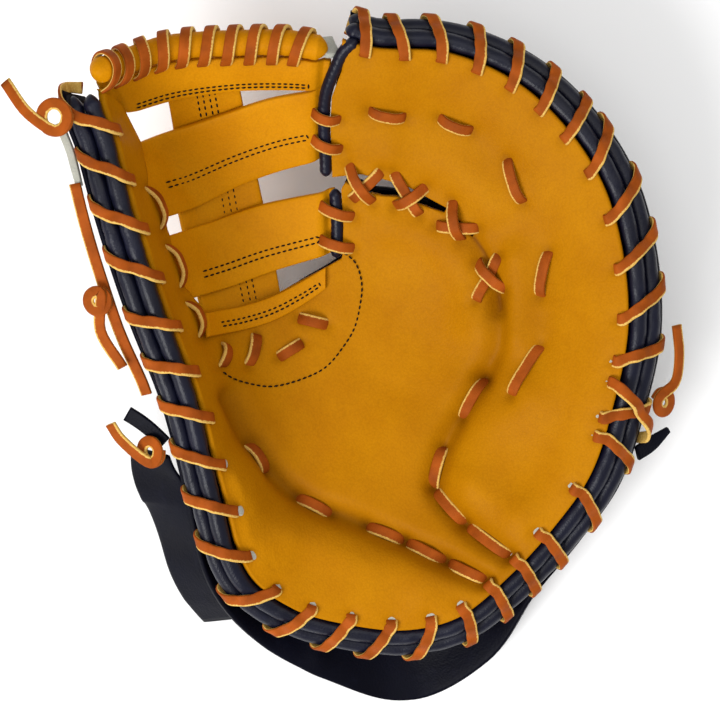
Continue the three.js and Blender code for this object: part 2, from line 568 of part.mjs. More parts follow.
// Where a loop passes round the rolls: its way from the back's hole to the palm's, the roll, and how
// far it leans along the row of rolls there
const ROUND_ROLLS = [
  { step: 0.12, roll: 'second', lean: 0.97 }, { step: 0.32, roll: 'second', lean: 0.42 },
  { step: 0.72, roll: 'first', lean: -0.42 }, { step: 0.92, roll: 'first', lean: -0.97 },
];
function rimLoop(hole, run) {
  const lead = run.lead * SPAN / rimLength;
  const lift = RIDE + (SLACK + run.lift) * LACE_THICK;
  const radius = ROLL_DIAMETER / 2;
  const around = ({ step, roll, lean }) => {
    const row = rimRow(hole + lead * (1 - step));
    const up = row.row.clone().multiplyScalar(lean)
      .addScaledVector(row.away, Math.sqrt(1 - lean * lean));
    return { point: row[roll].clone().addScaledVector(up, radius + lift), up };
  };
  const start = rimRow(hole + lead);
  const into = start.away.clone().negate();
  const outSide = start.row.clone().multiplyScalar(REAR_LEAN).add(into).normalize();
  const backHole = start.second.clone().addScaledVector(start.row, radius)
    .addScaledVector(into, REAR_HOLE_SETBACK);
  const holePlace = palmPoint(hole, 1);
  const normal = palmNormal(holePlace.x, holePlace.y);
  const outAlong = rimCurve.getTangentAt(((hole % 1) + 1) % 1).clone().cross(normal).normalize();
  const palmHole = holePlace.clone().addScaledVector(outAlong, -HOLE_SETBACK);
  const palmTop = above(palmHole.x, palmHole.y, 0);
  const palmUp = palmNormal(palmHole.x, palmHole.y);
  return [
    {
      point: backHole.clone().addScaledVector(outSide, -BACK_WALL - 2 * LACE_THICK),
      up: into,
    },
    { point: backHole.clone().addScaledVector(outSide, 1.6 * BACK_WALL + RIDE), up: outSide },
    ...ROUND_ROLLS.map(around),
    {
      point: palmTop.clone().addScaledVector(palmUp, RIDE + LACE_THICK / 2)
        .addScaledVector(outAlong, LACE_THICK / 2),
      up: palmUp.clone().addScaledVector(outAlong, -HOLE_LEAN).normalize(),
    },
    {
      point: palmTop.clone().addScaledVector(palmUp, -PALM_WALL - 2 * LACE_THICK),
      up: outAlong.clone().negate(),
    },
  ];
}

function rimLace(runs) {
  const path = [];
  for (const run of runs) {
    for (let i = 0; i < run.loops; i += 1) {
      const hole = run.loops > 1 ? mix(run.from, run.to, i / (run.loops - 1)) : run.from;
      path.push(...rimLoop(hole, run));
    }
  }
  return path;
}

// A lace that runs over and under the palm leather: each row shows from its first hole to its last
const UNDER = -PALM_WALL - LACE_THICK / 2 - 3 * CLEARANCE; // middle of a lace below the palm
const UNDER_STEP = 22; // longest stretch below the leather without a point
function runningLace(rows, crown, depth = 0) {
  const path = [];
  rows.forEach((row, index) => {
    const from = plan(row);
    const to = new THREE.Vector3(row.toX * SPAN, row.toY * SPAN, 0);
    if (index > 0) {
      const last = rows[index - 1];
      const left = new THREE.Vector3(last.toX * SPAN, last.toY * SPAN, 0);
      const steps = Math.ceil(left.distanceTo(from) / UNDER_STEP);
      for (let i = 1; i < steps; i += 1) {
        const spot = left.clone().lerp(from, i / steps);
        path.push({
          point: above(spot.x, spot.y, UNDER - depth),
          up: palmNormal(spot.x, spot.y).negate(),
        });
      }
    }
    const along = to.clone().sub(from).normalize();
    const lifts = [
      { share: 0, lift: UNDER - depth, lean: -1 },
      { share: 0, lift: RIDE + CLEARANCE, lean: -HOLE_LEAN },
      { share: 0.5, lift: RIDE + CLEARANCE + crown, lean: 0 },
      { share: 1, lift: RIDE + CLEARANCE, lean: HOLE_LEAN },
      { share: 1, lift: UNDER - depth, lean: 1 },
    ];
    for (const step of lifts) {
      const place = from.clone().lerp(to, step.share);
      const normal = palmNormal(place.x, place.y);
      path.push({
        point: above(place.x, place.y, step.lift),
        up: normal.multiplyScalar(1 - Math.abs(step.lean)).addScaledVector(along, step.lean).normalize(),
      });
    }
  });
  return path;
}

// Web: bars over the same bowl as the palm, the spine behind them and the rolled top edge
function between(rows, share) {
  const curve = new THREE.CatmullRomCurve3(rows.map(plan), false, 'centripetal');
  return curve.getPoint(share);
}
function panel(upper, lower, liftFront, liftRear, steps, rows) {
  const place = (a, b, lift) => {
    const p = between(lower, a).lerp(between(upper, a), b);
    return above(p.x, p.y, lift);
  };
  return wall((a, b) => place(a, b, liftFront), (a, b) => place(a, b, liftRear), steps, rows);
}
const BAR_STEPS = 10; // facets along a web bar
const BAR_ROWS = 2; // facets across a web bar
const BASE_WALL = 3; // base bar, lying on the palm
const SPINE_FRONT = -WEB_WALL - 2.2 * CLEARANCE; // the spine's front face, behind the bars
const SPINE_STEPS = 8; // facets up the spine
const SPINE_ROWS = 3; // facets across the spine
const TUBE_SIDES = 8; // facets round the web's rolled edge and the thin bindings
const FINGER_EDGE_STEPS = 10; // facets along the finger side's thin binding
const PALM_EDGE_STEPS = 5; // facets along the palm side's thin binding
const bars = {};
const spaces = [];
for (const bar of WEB_BARS) {
  bars[bar.name] = solidFrom(panel(bar.upper, bar.lower, 0, -WEB_WALL, BAR_STEPS, BAR_ROWS));
  const space = panel(bar.upper, bar.lower, 0, -WEB_WALL - CLEARANCE, BAR_STEPS, BAR_ROWS);
  spaces.push(solidFrom(space));
}
const palmCover = solidFrom(bowl(
  palmUnder,
  (share, out) => {
    const top = palmPoint(share, out);
    return top.addScaledVector(palmNormal(top.x, top.y), CLEARANCE);
  },
  AROUND,
  STEPS_OUT,
)).subtract(opening);
const baseBar = solidFrom(panel(BASE_BAR.upper, BASE_BAR.lower, BASE_WALL, 0, BAR_STEPS, BAR_ROWS))
  .subtract(palmCover);
const spine = solidFrom(panel(
  [...SPINE.left].reverse(),
  [...SPINE.right].reverse(),
  SPINE_FRONT,
  SPINE_FRONT - WEB_WALL,
  SPINE_STEPS,
  SPINE_ROWS,
)).subtract(wasm.Manifold.union(spaces));

const topRows = WEB_BARS[0].upper;
const topRollRadius = WEB_ROLL_DIAMETER / 2;
const topRollPoints = [];
const TOP_STEPS = 12; // facets along the web's rolled edge
for (let i = 0; i <= TOP_STEPS; i += 1) {
  const p = between(topRows, i / TOP_STEPS);
  p.y += topRollRadius + CLEARANCE;
  topRollPoints.push(above(p.x, p.y, -WEB_WALL / 2));
}
const topRoll = rod(topRollPoints, WEB_ROLL_DIAMETER, TUBE_SIDES, TOP_STEPS);

// Lace wound round the rolled edge, through the top bar just below it
const WRAPS = 10;
const WRAPPED = { from: 0.04, to: 0.96 }; // stretch of the rolled edge that is wound, as shares
const WRAP_SLANT = 0.75; // share of the pitch that a turn moves along while it shows
// One turn of the lace: degrees round the roll from straight above, and distance as a factor on the
// radius at which it rides
const WRAP_TURN = [
  { turn: -60, reach: 1.35 }, { turn: 0, reach: 1.08 }, { turn: 55, reach: 1.06 },
  { turn: 110, reach: 1.06 }, { turn: 165, reach: 1.08 }, { turn: 235, reach: 1.25 },
];
function topLacePath() {
  const curve = new THREE.CatmullRomCurve3(topRollPoints, false, 'centripetal');
  const path = [];
  const radius = topRollRadius + RIDE + CLEARANCE;
  const pitch = (WRAPPED.to - WRAPPED.from) / WRAPS;
  const begin = WRAP_TURN[0].turn;
  const whole = WRAP_TURN[WRAP_TURN.length - 1].turn - begin;
  for (let wrap = 0; wrap < WRAPS; wrap += 1) {
    for (const quarter of WRAP_TURN) {
      const share = WRAPPED.from + pitch * (wrap + WRAP_SLANT * (quarter.turn - begin) / whole);
      const centre = curve.getPointAt(share);
      const along = curve.getTangentAt(share);
      const angle = THREE.MathUtils.degToRad(quarter.turn);
      const north = palmNormal(centre.x, centre.y).cross(along).normalize();
      const up = along.clone().cross(north);
      const out = north.multiplyScalar(Math.sin(angle)).addScaledVector(up, Math.cos(angle));
      path.push({
        point: centre.clone().addScaledVector(out, radius * quarter.reach),
        up: out,
      });
    }
  }
  return path;
}

// Binding on the edges that face the web
function edgeBinding(rows, steps) {
  const points = [];
  for (let i = 0; i <= steps; i += 1) {
    const p = between(rows, i / steps);
    const ahead = between(rows, Math.min((i + 0.1) / steps, 1))
      .sub(between(rows, Math.max((i - 0.1) / steps, 0)));
    const outward = new THREE.Vector3(-ahead.y, ahead.x, 0).normalize();
    p.addScaledVector(outward, EDGE_BINDING / 2 + CLEARANCE);
    points.push(above(p.x, p.y, -PALM_WALL / 2));
  }
  return rod(points, EDGE_BINDING, TUBE_SIDES, steps);
}

// A path beside the rolls. beyond is how far past them it lies and drop how far below their row.
function beside(rows) {
  const curve = new THREE.CatmullRomCurve3(
    rows.map((row) => new THREE.Vector3(row.share, row.beyond, row.drop)),
    false,
    'catmullrom',
  );
  const steps = rows.length * 2 - 2;
  const path = [];
  for (let i = 0; i <= steps; i += 1) {
    const at = curve.getPoint(i / steps);
    const row = rimRow(at.x);
    path.push({
      point: row.rear.addScaledVector(row.row, at.y * ROLL_DIAMETER)
        .addScaledVector(row.away, -at.z * ROLL_DIAMETER),
      up: row.away,
      wide: mix(rows[Math.floor(i / 2)].wide ?? 1, rows[Math.ceil(i / 2)].wide ?? 1, 0.5),
    });
  }
  return path;
}

// A knot beside the rolls: a flat ring of lace that winds up on itself, then its tail
const KNOT_STEPS = 8; // points of a knot's path in one turn
function knot({ centre, ring, turns, begin, tail }) {
  const row = rimRow(centre.share);
  const middle = row.rear.clone().addScaledVector(row.row, centre.beyond * ROLL_DIAMETER)
    .addScaledVector(row.away, -centre.drop * ROLL_DIAMETER);
  const radius = ring * LACE_WIDTH;
  const across = row.row.clone().cross(row.away);
  const steps = Math.round(turns * KNOT_STEPS);
  const path = [];
  for (let i = 0; i <= steps; i += 1) {
    const angle = THREE.MathUtils.degToRad(begin) + (i / KNOT_STEPS) * 2 * Math.PI;
    const rise = (i / KNOT_STEPS) * (LACE_THICK + CLEARANCE);
    path.push({
      point: middle.clone().addScaledVector(row.row, radius * Math.cos(angle))
        .addScaledVector(across, radius * Math.sin(angle)).addScaledVector(row.away, rise),
      up: row.away,
    });
  }
  for (const step of tail) {
    const at = rimRow(step.share);
    path.push({
      point: at.rear.clone().addScaledVector(at.row, step.beyond * ROLL_DIAMETER)
        .addScaledVector(at.away, -step.drop * ROLL_DIAMETER),
      up: at.away,
      wide: step.wide,
    });
  }
  return path;
}

const CROSS_OVER = 1.9 * LACE_THICK; // how high the upper strand rises over the lower one
const CROSS_UNDER = 1.4 * LACE_THICK; // how far it keeps below it under the leather
const paths = {
  thumb_rim_lace: rimLace(THUMB_RUNS),
  finger_rim_lace: rimLace(FINGER_RUNS),
  slit_lace_under: runningLace(SLIT_LACE_UNDER, 0),
  slit_lace_over: runningLace(SLIT_LACE_OVER, CROSS_OVER, CROSS_UNDER),
  finger_pad_lace: runningLace(FINGER_PAD_LACE, LACE_THICK / 2),
  heel_pad_lace: runningLace(HEEL_PAD_LACE, LACE_THICK / 2),
  finger_edge_lace: runningLace(FINGER_EDGE_LACE, LACE_THICK, LACE_THICK / 2),
  palm_edge_lace: runningLace(PALM_EDGE_LACE, LACE_THICK, LACE_THICK / 2),
  thumb_edge_lace: runningLace(THUMB_EDGE_LACE, LACE_THICK),
  web_base_lace: runningLace(BASE_LACE, LACE_THICK / 2),
  web_top_lace: topLacePath(),
  thumb_side_lace: beside(THUMB_SIDE_LACE),
  thumb_tip_knot: knot(THUMB_TIP_KNOT),
  thumb_side_knot: knot(THUMB_SIDE_KNOT),
  strap_knot: knot(STRAP_KNOT),
  pinky_knot: knot(PINKY_KNOT),
};

// Leather and rolls cleared of the laces that go through them or lie against them
const HOLE_CLEARANCE = CLEARANCE;
const SMALLEST_DETAIL = 0.12; // thinner splinters of leather beside a hole are dropped
// The straight box round one stretch of a lace, with room to spare
function spaceRound(path, k) {
  const along = path[k + 1].point.clone().sub(path[k].point).normalize();
  const side = path[k].up.clone().add(path[k + 1].up).cross(along).normalize();
  const turn = new THREE.Matrix4().makeBasis(side, along.clone().cross(side), along);
  const back = turn.clone().transpose();
  const room = new THREE.Box3();
  for (const step of [k, k + 1]) {
    for (const x of [-LACE_WIDTH / 2, LACE_WIDTH / 2]) {
      for (const y of [-LACE_THICK / 2, LACE_THICK / 2]) {
        room.expandByPoint(onLace(path, step, x, y).applyMatrix4(back));
      }
    }
  }
  room.expandByScalar(HOLE_CLEARANCE);
  const size = room.getSize(new THREE.Vector3());
  const middle = room.getCenter(new THREE.Vector3());
  const box = new THREE.BoxGeometry(size.x, size.y, size.z);
  return solidFrom(box.translate(middle.x, middle.y, middle.z).applyMatrix4(turn));
}
const cuts = {};
for (const [name, path] of Object.entries(paths)) {
  const pieces = [];
  for (let k = 0; k + 1 < path.length; k += 1) pieces.push(spaceRound(path, k));
  cuts[name] = wasm.Manifold.union(pieces);
}
const largest = (solid) => solid.decompose()
  .reduce((best, piece) => (piece.volume() > best.volume() ? piece : best));
function cleared(solid, names) {
  const left = names.reduce((rest, name) => rest.subtract(cuts[name]), solid);
  return largest(left).simplify(SMALLEST_DETAIL);
}
const rimLaces = ['thumb_rim_lace', 'finger_rim_lace'];
const webLaces = ['finger_edge_lace', 'palm_edge_lace', 'thumb_edge_lace', 'web_base_lace'];
const allLaces = Object.keys(cuts);

const fatRoll = solidFrom(rod(
  rimPoints((row) => row.second, RIM_START, RIM_END, ROLL_STEPS),
  ROLL_DIAMETER + CLEARANCE,
  ROLL_SIDES,
  ROLL_STEPS,
));
palm = cleared(palm, allLaces);
back = cleared(back.subtract(fatRoll), rimLaces);

// The back's two halves, parted by a seam from the web to the heel
const seamAt = (side) => [
  { x: BACK_SEAM_LINE.x + side, y: 1 }, { x: BACK_SEAM_LINE.toX + side, y: -1 },
];
const apart = BACK_SEAM / SPAN / 2;
const fingerHalf = prism([...seamAt(apart), { x: 1, y: -1 }, { x: 1, y: 1 }].map(plan));
const thumbHalf = prism([...seamAt(-apart), { x: -1, y: -1 }, { x: -1, y: 1 }].map(plan));

add('palm', geometryFrom(palm), 'palm');
add('finger_back', geometryFrom(largest(back.intersect(fingerHalf))), 'black');
add('thumb_back', geometryFrom(largest(back.intersect(thumbHalf))), 'black');
add('palm_side_roll', palmRoll, 'black');
add('back_side_roll', backRoll, 'black');
for (const [name, path] of Object.entries(paths)) {
  const lace = strip(path, LACE_WIDTH, LACE_THICK);
  const crossed = name === 'slit_lace_over' ? ['slit_lace_under'] : [];
  add(name, crossed.length > 0 ? geometryFrom(cleared(solidFrom(lace), crossed)) : lace, 'lace');
}
add('web_top_bar', geometryFrom(cleared(bars.web_top_bar, ['web_top_lace'])), 'palm');
add('web_upper_bar', geometryFrom(cleared(bars.web_upper_bar, webLaces)), 'palm');
add('web_lower_bar', geometryFrom(cleared(bars.web_lower_bar, webLaces)), 'palm');
add('web_base_bar', geometryFrom(cleared(baseBar, webLaces)), 'palm');
add('web_spine', geometryFrom(cleared(spine, webLaces)), 'palm');
add('web_top_roll', topRoll, 'palm');
const fingerBinding = edgeBinding(
  [SLIT_FINGER_SIDE[SLIT_FINGER_SIDE.length - 1], ...FINGER_EDGE],
  FINGER_EDGE_STEPS,
);
add('finger_edge_binding', geometryFrom(cleared(solidFrom(fingerBinding), webLaces)), 'black');
const palmBinding = edgeBinding(PALM_EDGE, PALM_EDGE_STEPS);
add('palm_edge_binding', geometryFrom(cleared(solidFrom(palmBinding), webLaces)), 'black');
for (const [name, rows, width, thick, finish] of [
  ['thumb_strap', THUMB_STRAP, STRAP_WIDTH, TAB_WALL, 'black'],
  ['thumb_tab', THUMB_TAB, TAB_WIDTH, TAB_WALL, 'black'],
  ['pinky_tab', PINKY_TAB, TAB_WIDTH, TAB_WALL, 'black'],
  ['thumb_lining', THUMB_LINING, TAB_WIDTH, FELT_WALL, 'felt'],
  ['finger_lining', FINGER_LINING, TAB_WIDTH, FELT_WALL, 'felt'],
]) {
  add(name, geometryFrom(cleared(solidFrom(strip(beside(rows), width, thick)), rimLaces)), finish);
}

export default group;
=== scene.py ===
"""First baseman mitt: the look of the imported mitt.

The mitt lies on its back. +X runs from the thumb to the little finger, +Y from the heel to the
finger tips and +Z up out of the pocket. Sizes are in millimetres until a mesh is made, and all of
the leather follows one bowl, so every piece finds its place by the same few functions.
"""
import bpy
import bmesh
import numpy as np
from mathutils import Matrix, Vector


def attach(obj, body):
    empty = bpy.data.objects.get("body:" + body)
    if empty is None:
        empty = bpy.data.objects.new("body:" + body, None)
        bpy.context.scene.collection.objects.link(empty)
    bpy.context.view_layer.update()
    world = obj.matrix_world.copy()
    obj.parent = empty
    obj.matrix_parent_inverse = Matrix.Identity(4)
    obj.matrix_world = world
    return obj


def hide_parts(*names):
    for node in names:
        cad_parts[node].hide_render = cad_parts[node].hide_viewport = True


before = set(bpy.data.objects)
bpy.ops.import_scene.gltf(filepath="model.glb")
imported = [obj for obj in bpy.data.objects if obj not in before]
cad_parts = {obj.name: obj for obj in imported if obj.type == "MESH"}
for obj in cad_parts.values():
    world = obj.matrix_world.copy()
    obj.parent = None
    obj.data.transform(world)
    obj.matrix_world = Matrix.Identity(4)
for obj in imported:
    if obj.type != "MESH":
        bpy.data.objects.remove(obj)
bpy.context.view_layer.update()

# Driving dimensions, millimetres
MM = 0.001
SPAN = 300.0
DEPTH = 120.0
POCKET_FLOOR = 37.0
PALM_WALL = 3.0
BACK_WALL = 2.4
ROLL_DIAMETER = 8.4
LACE_WIDTH = 6.0
LACE_THICK = 2.0
HOLE_SETBACK = 5.0
REAR_HOLE_SETBACK = 10.0
WEB_WALL = 4.0
WEB_ROLL_DIAMETER = 13.0
EDGE_BINDING = 6.0
SEAM_THICKNESS = 12.0
CLEARANCE = 0.35
ROUND_OVER = 0.035
POCKET_STALL = 0.19
SEAM_REACH = 0.08
RIM_START = 0.006
RIM_END = 0.857
RIDE = LACE_THICK / 2 + 1.6 * CLEARANCE
MIDDLE = np.array([-10.43, 0.98, 0.0])
POCKET = np.array([-0.01, -0.015]) * SPAN

# The palm's rim, anticlockwise from the thumb tip: x and y in shares of SPAN, rise in shares of
# DEPTH, the power of the climb from the pocket, the rolls' tilt in degrees, how far the back's edge
# stands off and the depth of the hollow behind the palm, in shares of SPAN
RIM_COLUMNS = ("x", "y", "rise", "steep", "tilt", "entry", "stall")
RIM = np.array([
    (-0.423, 0.460, 0.983, 5.0, 20, 0.000, 0.11),
    (-0.398, 0.358, 0.975, 5.5, 20, 0.000, 0.11),
    (-0.368, 0.243, 0.950, 6.0, 22, 0.000, 0.12),
    (-0.322, 0.097, 0.900, 5.5, 26, 0.000, 0.13),
    (-0.267, -0.053, 0.817, 4.5, 32, 0.000, 0.14),
    (-0.227, -0.217, 0.700, 3.6, 40, 0.004, 0.14),
    (-0.183, -0.362, 0.583, 3.0, 50, 0.030, 0.14),
    (-0.113, -0.420, 0.517, 2.6, 54, 0.070, 0.14),
    (-0.017, -0.448, 0.483, 2.4, 52, 0.105, 0.14),
    (0.080, -0.457, 0.467, 2.4, 52, 0.135, 0.14),
    (0.167, -0.435, 0.483, 2.4, 52, 0.085, 0.14),
    (0.250, -0.367, 0.525, 2.2, 50, 0.016, 0.13),
    (0.328, -0.280, 0.583, 2.0, 46, 0.000, 0.12),
    (0.387, -0.193, 0.650, 1.9, 44, 0.000, 0.12),
    (0.423, -0.080, 0.717, 1.8, 42, 0.000, 0.14),
    (0.447, 0.052, 0.783, 1.8, 40, 0.000, 0.15),
    (0.435, 0.192, 0.825, 1.8, 40, 0.000, 0.16),
    (0.400, 0.300, 0.850, 1.8, 40, 0.000, 0.17),
    (0.333, 0.397, 0.867, 1.8, 42, 0.000, 0.17),
    (0.250, 0.467, 0.883, 1.9, 46, 0.000, 0.17),
    (0.142, 0.510, 0.892, 2.0, 50, 0.000, 0.16),
    (0.025, 0.517, 0.900, 2.1, 54, 0.000, 0.13),
    (-0.058, 0.537, 0.900, 2.2, 50, 0.000, 0.06),
    (-0.200, 0.553, 0.883, 2.4, 40, 0.000, 0.05),
    (-0.350, 0.537, 0.917, 3.2, 30, 0.000, 0.06),
])

# Edges of the palm that face the web and the slit, shares of SPAN
THUMB_EDGE = np.array([(-0.397, 0.427), (-0.368, 0.365), (-0.350, 0.287), (-0.327, 0.240),
                       (-0.293, 0.125), (-0.263, 0.083)])
BASE_EDGE = np.array([(-0.263, 0.083), (-0.203, 0.092), (-0.142, 0.113), (-0.055, 0.158)])
PALM_EDGE = np.array([(-0.030, 0.172), (-0.028, 0.225), (-0.032, 0.288)])
SLIT_PALM_SIDE = np.array([(-0.025, 0.298), (0.022, 0.278), (0.067, 0.275), (0.108, 0.260),
                           (0.148, 0.247), (0.190, 0.203), (0.213, 0.163), (0.227, 0.113),
                           (0.230, 0.083)])
SLIT_FINGER_SIDE = np.array([(0.235, 0.087), (0.232, 0.117), (0.218, 0.170), (0.195, 0.208),
                             (0.150, 0.255), (0.117, 0.273), (0.083, 0.292), (0.042, 0.305),
                             (0.002, 0.313), (-0.047, 0.308)])
FINGER_EDGE = np.array([(-0.048, 0.350), (-0.050, 0.400), (-0.047, 0.440), (-0.030, 0.483)])
WEB_BEYOND = np.array([(-0.030, 0.620), (-0.520, 0.620), (-0.470, 0.480)])

# Web bars, upper and lower edge from the thumb side to the finger side, shares of SPAN
BARS = {
    "web_top_bar": (
        [(-0.406, 0.462), (-0.325, 0.492), (-0.213, 0.502), (-0.120, 0.502), (-0.071, 0.494)],
        [(-0.380, 0.412), (-0.313, 0.433), (-0.213, 0.448), (-0.133, 0.450), (-0.076, 0.448)]),
    "web_upper_bar": (
        [(-0.359, 0.367), (-0.300, 0.387), (-0.225, 0.412), (-0.150, 0.435), (-0.076, 0.447)],
        [(-0.315, 0.243), (-0.267, 0.263), (-0.200, 0.295), (-0.133, 0.318), (-0.076, 0.332)]),
    "web_lower_bar": (
        [(-0.307, 0.214), (-0.250, 0.235), (-0.172, 0.260), (-0.108, 0.273), (-0.062, 0.281)],
        [(-0.259, 0.112), (-0.217, 0.125), (-0.158, 0.147), (-0.105, 0.163), (-0.062, 0.175)]),
    "web_base_bar": (
        [(-0.250, 0.080), (-0.203, 0.090), (-0.142, 0.111), (-0.097, 0.135), (-0.060, 0.157)],
        [(-0.246, 0.040), (-0.200, 0.050), (-0.147, 0.067), (-0.100, 0.092), (-0.060, 0.120)]),
    "web_spine": (
        [(-0.140, 0.136), (-0.177, 0.297), (-0.205, 0.452)],
        [(-0.256, 0.112), (-0.288, 0.240), (-0.321, 0.440)]),
}

# How far the spine runs on behind the base bar and behind the top bar, mm
SPINE_BEYOND = (12.0, 4.0)

# Runs of rim loops: number of loops, first and last hole and lead, as in the solids
THUMB_RUNS = [(4, 0.028, 0.112, -0.075, 0), (7, 0.14, 0.3, -0.055, 0), (4, 0.324, 0.394, -0.05, 0),
              (4, 0.414, 0.475, -0.022, 0), (2, 0.507, 0.54, -0.042, 0), (1, 0.551, 0.551, 0.04, 0)]
FINGER_RUNS = [(1, 0.571, 0.571, -0.085, 1.9), (1, 0.583, 0.583, 0.045, 0),
               (4, 0.607, 0.692, 0.068, 0), (7, 0.716, 0.843, 0.034, 0)]

# Visible stretches of the running laces, hole to hole, shares of SPAN, with their crown in mm
RUNNING = {
    "finger_pad_lace": (1.0, [
        (0.013, 0.413, 0.077, 0.402), (0.130, 0.402, 0.187, 0.380), (0.243, 0.335, 0.273, 0.262),
        (0.313, 0.182, 0.300, 0.105), (0.302, 0.025, 0.258, -0.060), (0.202, -0.033, 0.168, -0.100),
        (0.119, -0.215, 0.138, -0.146), (0.171, -0.274, 0.123, -0.219),
        (0.250, -0.333, 0.175, -0.277)]),
    "heel_pad_lace": (1.0, [
        (-0.173, -0.138, -0.147, -0.190), (-0.103, -0.230, -0.048, -0.260),
        (0.012, -0.279, 0.073, -0.304), (0.077, -0.306, 0.139, -0.338),
        (0.143, -0.340, 0.211, -0.374)]),
    "slit_lace_under": (0.2, [
        (0.036, 0.320, -0.017, 0.268), (0.056, 0.318, 0.102, 0.244), (0.129, 0.228, 0.200, 0.222),
        (0.235, 0.178, 0.198, 0.100)]),
    "slit_lace_over": (3.4, [
        (-0.021, 0.329, 0.022, 0.263), (0.058, 0.260, 0.113, 0.292), (0.155, 0.270, 0.170, 0.202),
        (0.196, 0.165, 0.245, 0.118)]),
    "finger_edge_lace": (2.0, [
        (-0.084, 0.415, -0.033, 0.400), (-0.084, 0.372, -0.030, 0.352)]),
    "palm_edge_lace": (2.0, [
        (-0.072, 0.262, -0.010, 0.240), (-0.072, 0.205, -0.010, 0.187)]),
    "thumb_edge_lace": (2.0, [
        (-0.354, 0.292, -0.328, 0.220), (-0.321, 0.196, -0.296, 0.122),
        (-0.288, 0.100, -0.263, 0.040)]),
    "web_base_lace": (1.0, [
        (-0.225, 0.030, -0.230, -0.010), (-0.175, 0.045, -0.187, -0.008),
        (-0.098, 0.030, -0.138, 0.005), (-0.055, 0.060, -0.105, 0.072)]),
}

# Pieces beside the rolls: share of the rim, roll diameters past them and below them, width factor
BESIDE = {
    "thumb_side_lace": [(0.05, 0.85, -0.1, 1), (0.08, 1, 0, 1), (0.11, 1.1, 0.1, 1),
                        (0.135, 1.2, 0.2, 1), (0.16, 1.05, 0.1, 1), (0.17, 1, 0, 1)],
    "thumb_strap": [(0.205, 2.2, 0.2, 0.75), (0.222, 2.5, 0.6, 1), (0.24, 2.4, 0.8, 1),
                    (0.258, 2.4, 0.9, 0.95), (0.276, 2.3, 0.7, 0.9), (0.292, 2.3, 0.8, 0.75)],
    "thumb_tab": [(0.202, 0.65, -0.2, 1), (0.19, 1.6, -0.2, 1), (0.178, 2.6, -0.3, 1)],
    "pinky_tab": [(0.536, 0.63, 0, 1), (0.543, 1.7, 0.1, 1), (0.552, 2.7, 0.1, 0.4)],
    "thumb_lining": [(0.014, 0.68, 0.1, 0.5), (0.035, 0.68, 0.1, 0.5), (0.052, 0.68, 0.1, 0.4)],
    "finger_lining": [(0.86, -2.4, 1.6, 1), (0.864, -1.7, 1.6, 1), (0.867, -1, 1.6, 1)],
}

# Knots: the ring's middle as above, its radius in lace widths, turns and first angle, then the tail
KNOTS = {
    "thumb_tip_knot": ((0.012, 0.35, -1.1), 1.15, 1.25, 180,
                       [(0.009, 1.9, -1.3, 1), (0.003, 3.3, -1.1, 1)]),
    "thumb_side_knot": ((0.113, 1.5, -0.35), 0.8, 1.125, 90,
                        [(0.128, 2.0, -0.5, 1), (0.15, 1.6, -0.4, 1)]),
    "strap_knot": ((0.205, 1.33, -0.7), 0.9, 1.25, 180,
                   [(0.194, 2.9, -1.3, 1), (0.182, 3.3, -1.3, 1)]),
    "pinky_knot": ((0.566, 1.1, -0.3), 0.8, 1.125, 180,
                   [(0.577, 1.5, -0.6, 1), (0.59, 1.5, -0.5, 1), (0.604, 1.2, -0.3, 1)]),
}


def unit(v):
    """Vectors scaled to length one."""
    return v / np.maximum(np.linalg.norm(v, axis=-1, keepdims=True), 1e-9)


def ease(low, high, value):
    """A smooth step from 0 at low to 1 at high."""
    t = np.clip((value - low) / (high - low), 0, 1)
    return t * t * (3 - 2 * t)


def catmull(points, samples, closed=False):
    """Centripetal Catmull-Rom through the points, samples per stretch; also the row parameter."""
    points = np.asarray(points, float)
    if closed:
        ring = np.concatenate([points[-1:], points, points[:2]])
    else:
        ring = np.concatenate([2 * points[:1] - points[1:2], points, 2 * points[-1:] - points[-2:-1]])
    p0, p1, p2, p3 = ring[:-3], ring[1:-2], ring[2:-1], ring[3:]
    d0, d1, d2 = (np.sqrt(np.linalg.norm(b - a, axis=1))[:, None] for a, b in
                  ((p0, p1), (p1, p2), (p2, p3)))
    t1 = ((p1 - p0) / d0 - (p2 - p0) / (d0 + d1) + (p2 - p1) / d1) * d1
    t2 = ((p2 - p1) / d1 - (p3 - p1) / (d1 + d2) + (p3 - p2) / d2) * d1
    f = np.linspace(0, 1, samples, endpoint=False)[None, :, None]
    a, b, c, d = p1, t1, 3 * (p2 - p1) - 2 * t1 - t2, 2 * (p1 - p2) + t1 + t2
    curve = (a[:, None] + b[:, None] * f + c[:, None] * f ** 2 + d[:, None] * f ** 3)
    rows = np.arange(len(p1))[:, None] + f[0, :, 0][None]
    curve, rows = curve.reshape(-1, points.shape[1]), rows.reshape(-1)
    last = points[:1] if closed else points[-1:]
    return np.concatenate([curve, last]), np.append(rows, len(p1))


def run_along(points):
    """Length along a path up to each of its points."""
    return np.append(0, np.cumsum(np.linalg.norm(np.diff(points, axis=0), axis=1)))


# The rim as a fine closed line, with the share of its length and its row at every point
rim_line, rim_rows = catmull(RIM[:, :2] * SPAN, 60, closed=True)
rim_steps = run_along(rim_line)
RIM_LENGTH = rim_steps[-1]
rim_shares = rim_steps / RIM_LENGTH
rim_bearings = np.unwrap(np.arctan2(*(rim_line - POCKET).T[::-1]))


def rim_point(share):
    """Point of the rim in plan at a share of its length."""
    share = np.mod(share, 1)
    return np.stack([np.interp(share, rim_shares, rim_line[:, k]) for k in (0, 1)], -1)


